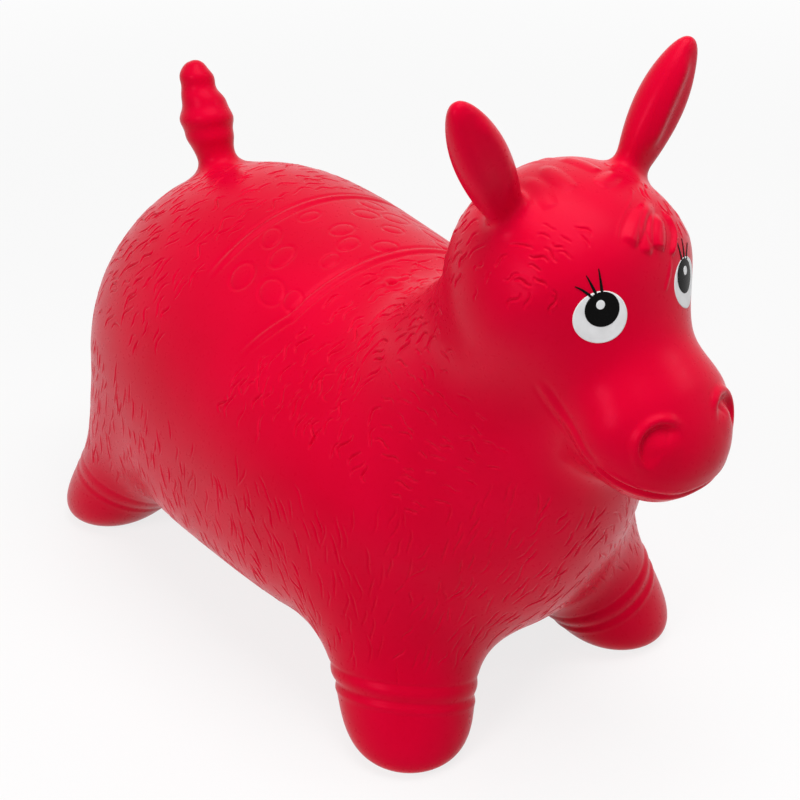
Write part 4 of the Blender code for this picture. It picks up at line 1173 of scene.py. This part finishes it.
class Nodes:
    """The node tree of a material or a world, with a short way to add and join its nodes."""

    def __init__(self, owner):
        owner.use_nodes = True
        self.owner = owner
        self.nodes = owner.node_tree.nodes
        self.links = owner.node_tree.links

    def give(self, socket, value):
        """Join an input to an output of another node, or set it to a plain value."""
        if isinstance(value, bpy.types.NodeSocket):
            self.links.new(value, socket)
        else:
            socket.default_value = value

    def add(self, kind, inputs, output=0, **settings):
        """Add a node with its settings and inputs, and give one of its outputs."""
        node = self.nodes.new(kind)
        for key, value in settings.items():
            setattr(node, key, value)
        for socket, value in inputs.items():
            self.give(node.inputs[socket], value)
        return node.outputs[output]

    def noise(self, place, scale, detail):
        inputs = {"Vector": place, "Scale": scale, "Detail": detail, "Roughness": NOISE_ROUGHNESS}
        return self.add("ShaderNodeTexNoise", inputs, "Fac")

    def between(self, value, low, high, out_low, out_high):
        inputs = {"Value": value, "From Min": low, "From Max": high, "To Min": out_low, "To Max": out_high}
        return self.add("ShaderNodeMapRange", inputs, "Result")

    def clouded(self, cloud, edges, first, second):
        """One colour that passes into another between the edges of a noise."""
        share = self.between(cloud, *edges, 0.0, 1.0)
        inputs = {MIX_FACTOR: share, MIX_FIRST: first, MIX_SECOND: second}
        return self.add("ShaderNodeMix", inputs, MIX_RESULT, data_type="RGBA")

    def finish(self, inputs):
        """Give the main shader its inputs, and hand over the material."""
        for socket, value in inputs.items():
            self.give(self.nodes["Principled BSDF"].inputs[socket], value)
        return self.owner


WHITE = (1.0, 1.0, 1.0, 1.0)
RED = (0.65, 0.0008, 0.027, 1.0)
RED_DEEP = (0.59, 0.0006, 0.022, 1.0)
RED_SHEEN = (1.0, 0.10, 0.22, 1.0)
CLEAR_PVC = (0.80, 0.78, 0.72, 1.0)
CLEAR_PVC_DEEP = (0.66, 0.64, 0.57, 1.0)
WHITE_INK = (0.78, 0.79, 0.80, 1.0)
WHITE_INK_DEEP = (0.702, 0.711, 0.72, 1.0)
BLACK_INK = (0.003, 0.003, 0.003, 1.0)
BLACK_INK_DEEP = (0.0027, 0.0027, 0.0027, 1.0)
GRAIN_EDGES = (0.3, 0.7)
REST_PLACE = ("ShaderNodeAttribute", "Vector", {"attribute_name": "rest_place"})
OBJECT_PLACE = ("ShaderNodeTexCoord", "Object", {})

# Each material: where its patterns lie, its cloud's scale and detail, edges and colours, its roughness, its
# bumps' scale, detail, height in millimetres and strength, and the other inputs of its shader
MATERIALS = {
    "red_moulded_pvc": (
        REST_PLACE, (14.0, 2.0), (0.3, 0.7), (RED, RED_DEEP), (0.26, 0.34),
        ((260.0, 3.0, 0.06, 0.6), (900.0, 2.0, 0.02, 0.6)),
        {"IOR": 1.5, "Specular IOR Level": 0.13, "Specular Tint": RED_SHEEN, "Subsurface Weight": 0.04,
         "Subsurface Scale": 0.004}),
    "white_print": (
        REST_PLACE, (90.0, 3.0), (0.35, 0.65), (WHITE_INK, WHITE_INK_DEEP), (0.30, 0.38),
        ((700.0, 2.0, 0.03, 0.5),), {"Specular IOR Level": 0.04}),
    "black_print": (
        REST_PLACE, (90.0, 3.0), (0.35, 0.65), (BLACK_INK, BLACK_INK_DEEP), (0.22, 0.30),
        ((700.0, 2.0, 0.03, 0.5),), {"Specular IOR Level": 0.04}),
    "milky_clear_pvc": (
        OBJECT_PLACE, (120.0, 3.0), (0.3, 0.7), (CLEAR_PVC, CLEAR_PVC_DEEP), (0.22, 0.34),
        ((500.0, 3.0, 0.03, 0.5),), {"Transmission Weight": 0.25, "IOR": 1.53}),
}


def plastic(name):
    """A material that clouds from one colour into another, with a grain in its gloss and its surface."""
    (kind, output, settings), cloud, edges, colours, roughness, bumps, others = MATERIALS[name]
    shader = Nodes(bpy.data.materials.new(name))
    place = shader.add(kind, {}, output, **settings)
    grains = [shader.noise(place, scale, detail) for scale, detail, _, _ in bumps]
    normal = {}
    for grain, (_, _, height, strength) in zip(grains, bumps):
        inputs = {"Height": grain, "Distance": height * MM, "Strength": strength} | normal
        normal = {"Normal": shader.add("ShaderNodeBump", inputs, "Normal")}
    return shader.finish({
        "Base Color": shader.clouded(shader.noise(place, *cloud), edges, *colours),
        "Roughness": shader.between(grains[0], *GRAIN_EDGES, *roughness),
    } | normal | others)


def paint(node, material):
    target = frame["nodes"][node]
    target.data.materials.clear()
    target.data.materials.append(material)


# Camera, light and floor
CAMERA_PLACE = (-0.6731, -0.8069, 0.770)
CAMERA_TURN = (60.6, 0.0, -40.0)
CAMERA_LENS = 73.485
CAMERA_SENSOR = 36.0
LAMPS = (
    ("top_softbox", (0.10, -0.30, 1.9), (0, 0, 0.15), 1.3, 29.0),
    ("near_softbox", (-1.9, -0.40, 1.45), (0, 0, 0.18), 0.8, 21.0),
    ("far_softbox", (1.45, -1.15, 1.5), (0, -0.1, 0.25), 0.45, 3.5),
)
WORLD_STRENGTH = 0.20
FLOOR_SIZE = 12.0
FLOOR_COLOUR = (0.82, 0.82, 0.82, 1.0)
FLOOR_ROUGHNESS = 0.8
FLOOR_WHITE = 0.8
FLOOR_FADE = (0.6, 2.2)


def add_camera():
    camera = bpy.data.cameras.new("camera")
    camera.lens = CAMERA_LENS
    camera.sensor_width = CAMERA_SENSOR
    holder = bpy.data.objects.new("camera", camera)
    holder.location = CAMERA_PLACE
    holder.rotation_euler = [math.radians(angle) for angle in CAMERA_TURN]
    bpy.context.scene.collection.objects.link(holder)
    bpy.context.scene.camera = holder


def add_lamp(name, place, target, size, power):
    lamp = bpy.data.lights.new(name, "AREA")
    lamp.shape = "SQUARE"
    lamp.size = size
    lamp.energy = power
    holder = bpy.data.objects.new(name, lamp)
    holder.location = place
    holder.rotation_euler = (Vector(target) - Vector(place)).to_track_quat("-Z", "Y").to_euler()
    bpy.context.scene.collection.objects.link(holder)


def white_to_camera(shader, own, white, surface, part):
    """Show the camera and mirrors a part of plain white, and everything else the given shader alone."""
    path = shader.nodes.new("ShaderNodeLightPath").outputs
    seen = path["Is Camera Ray"]
    for kind in ("Is Glossy Ray", "Is Transmission Ray"):
        seen = shader.add("ShaderNodeMath", {0: seen, 1: path[kind]}, operation="MAXIMUM")
    share = shader.add("ShaderNodeMath", {0: seen, 1: part}, operation="MULTIPLY")
    plain = shader.add(white, {"Color": WHITE, "Strength": 1.0})
    shader.give(surface, shader.add("ShaderNodeMixShader", {0: share, 1: own, 2: plain}))


def add_world():
    world = Nodes(bpy.data.worlds.new("studio"))
    bpy.context.scene.world = world.owner
    own = world.nodes["Background"]
    own.inputs["Color"].default_value = WHITE
    own.inputs["Strength"].default_value = WORLD_STRENGTH
    white_to_camera(world, own.outputs[0], "ShaderNodeBackground",
                    world.nodes["World Output"].inputs["Surface"], 1.0)


def add_floor():
    """A pale floor that keeps the object's shadow, and fades to plain white away from it."""
    mesh = bpy.data.meshes.new("floor")
    half = FLOOR_SIZE / 2.0
    corners = [(-half, -half, 0), (half, -half, 0), (half, half, 0), (-half, half, 0)]
    mesh.from_pydata(corners, [], [(0, 1, 2, 3)])
    floor = bpy.data.objects.new("floor", mesh)
    bpy.context.scene.collection.objects.link(floor)
    shader = Nodes(bpy.data.materials.new("pale_floor"))
    shader.finish({"Base Color": FLOOR_COLOUR, "Roughness": FLOOR_ROUGHNESS})
    place = shader.add("ShaderNodeTexCoord", {}, "Object")
    away = shader.add("ShaderNodeVectorMath", {"Vector": place}, "Value", operation="LENGTH")
    white_to_camera(shader, shader.nodes["Principled BSDF"].outputs[0], "ShaderNodeEmission",
                    shader.nodes["Material Output"].inputs["Surface"],
                    shader.between(away, *FLOOR_FADE, FLOOR_WHITE, 1.0))
    mesh.materials.append(shader.owner)


def main():
    tree = add_skin(plastic("red_moulded_pvc"))
    add_eyes(tree, {"white_ink": plastic("white_print"), "black_ink": plastic("black_print")})
    milky = plastic("milky_clear_pvc")
    paint("valve_seat", milky)
    paint("valve_plug", milky)
    add_camera()
    add_world()
    for lamp in LAMPS:
        add_lamp(*lamp)
    add_floor()
    bpy.context.scene.view_settings.view_transform = "Standard"


main()
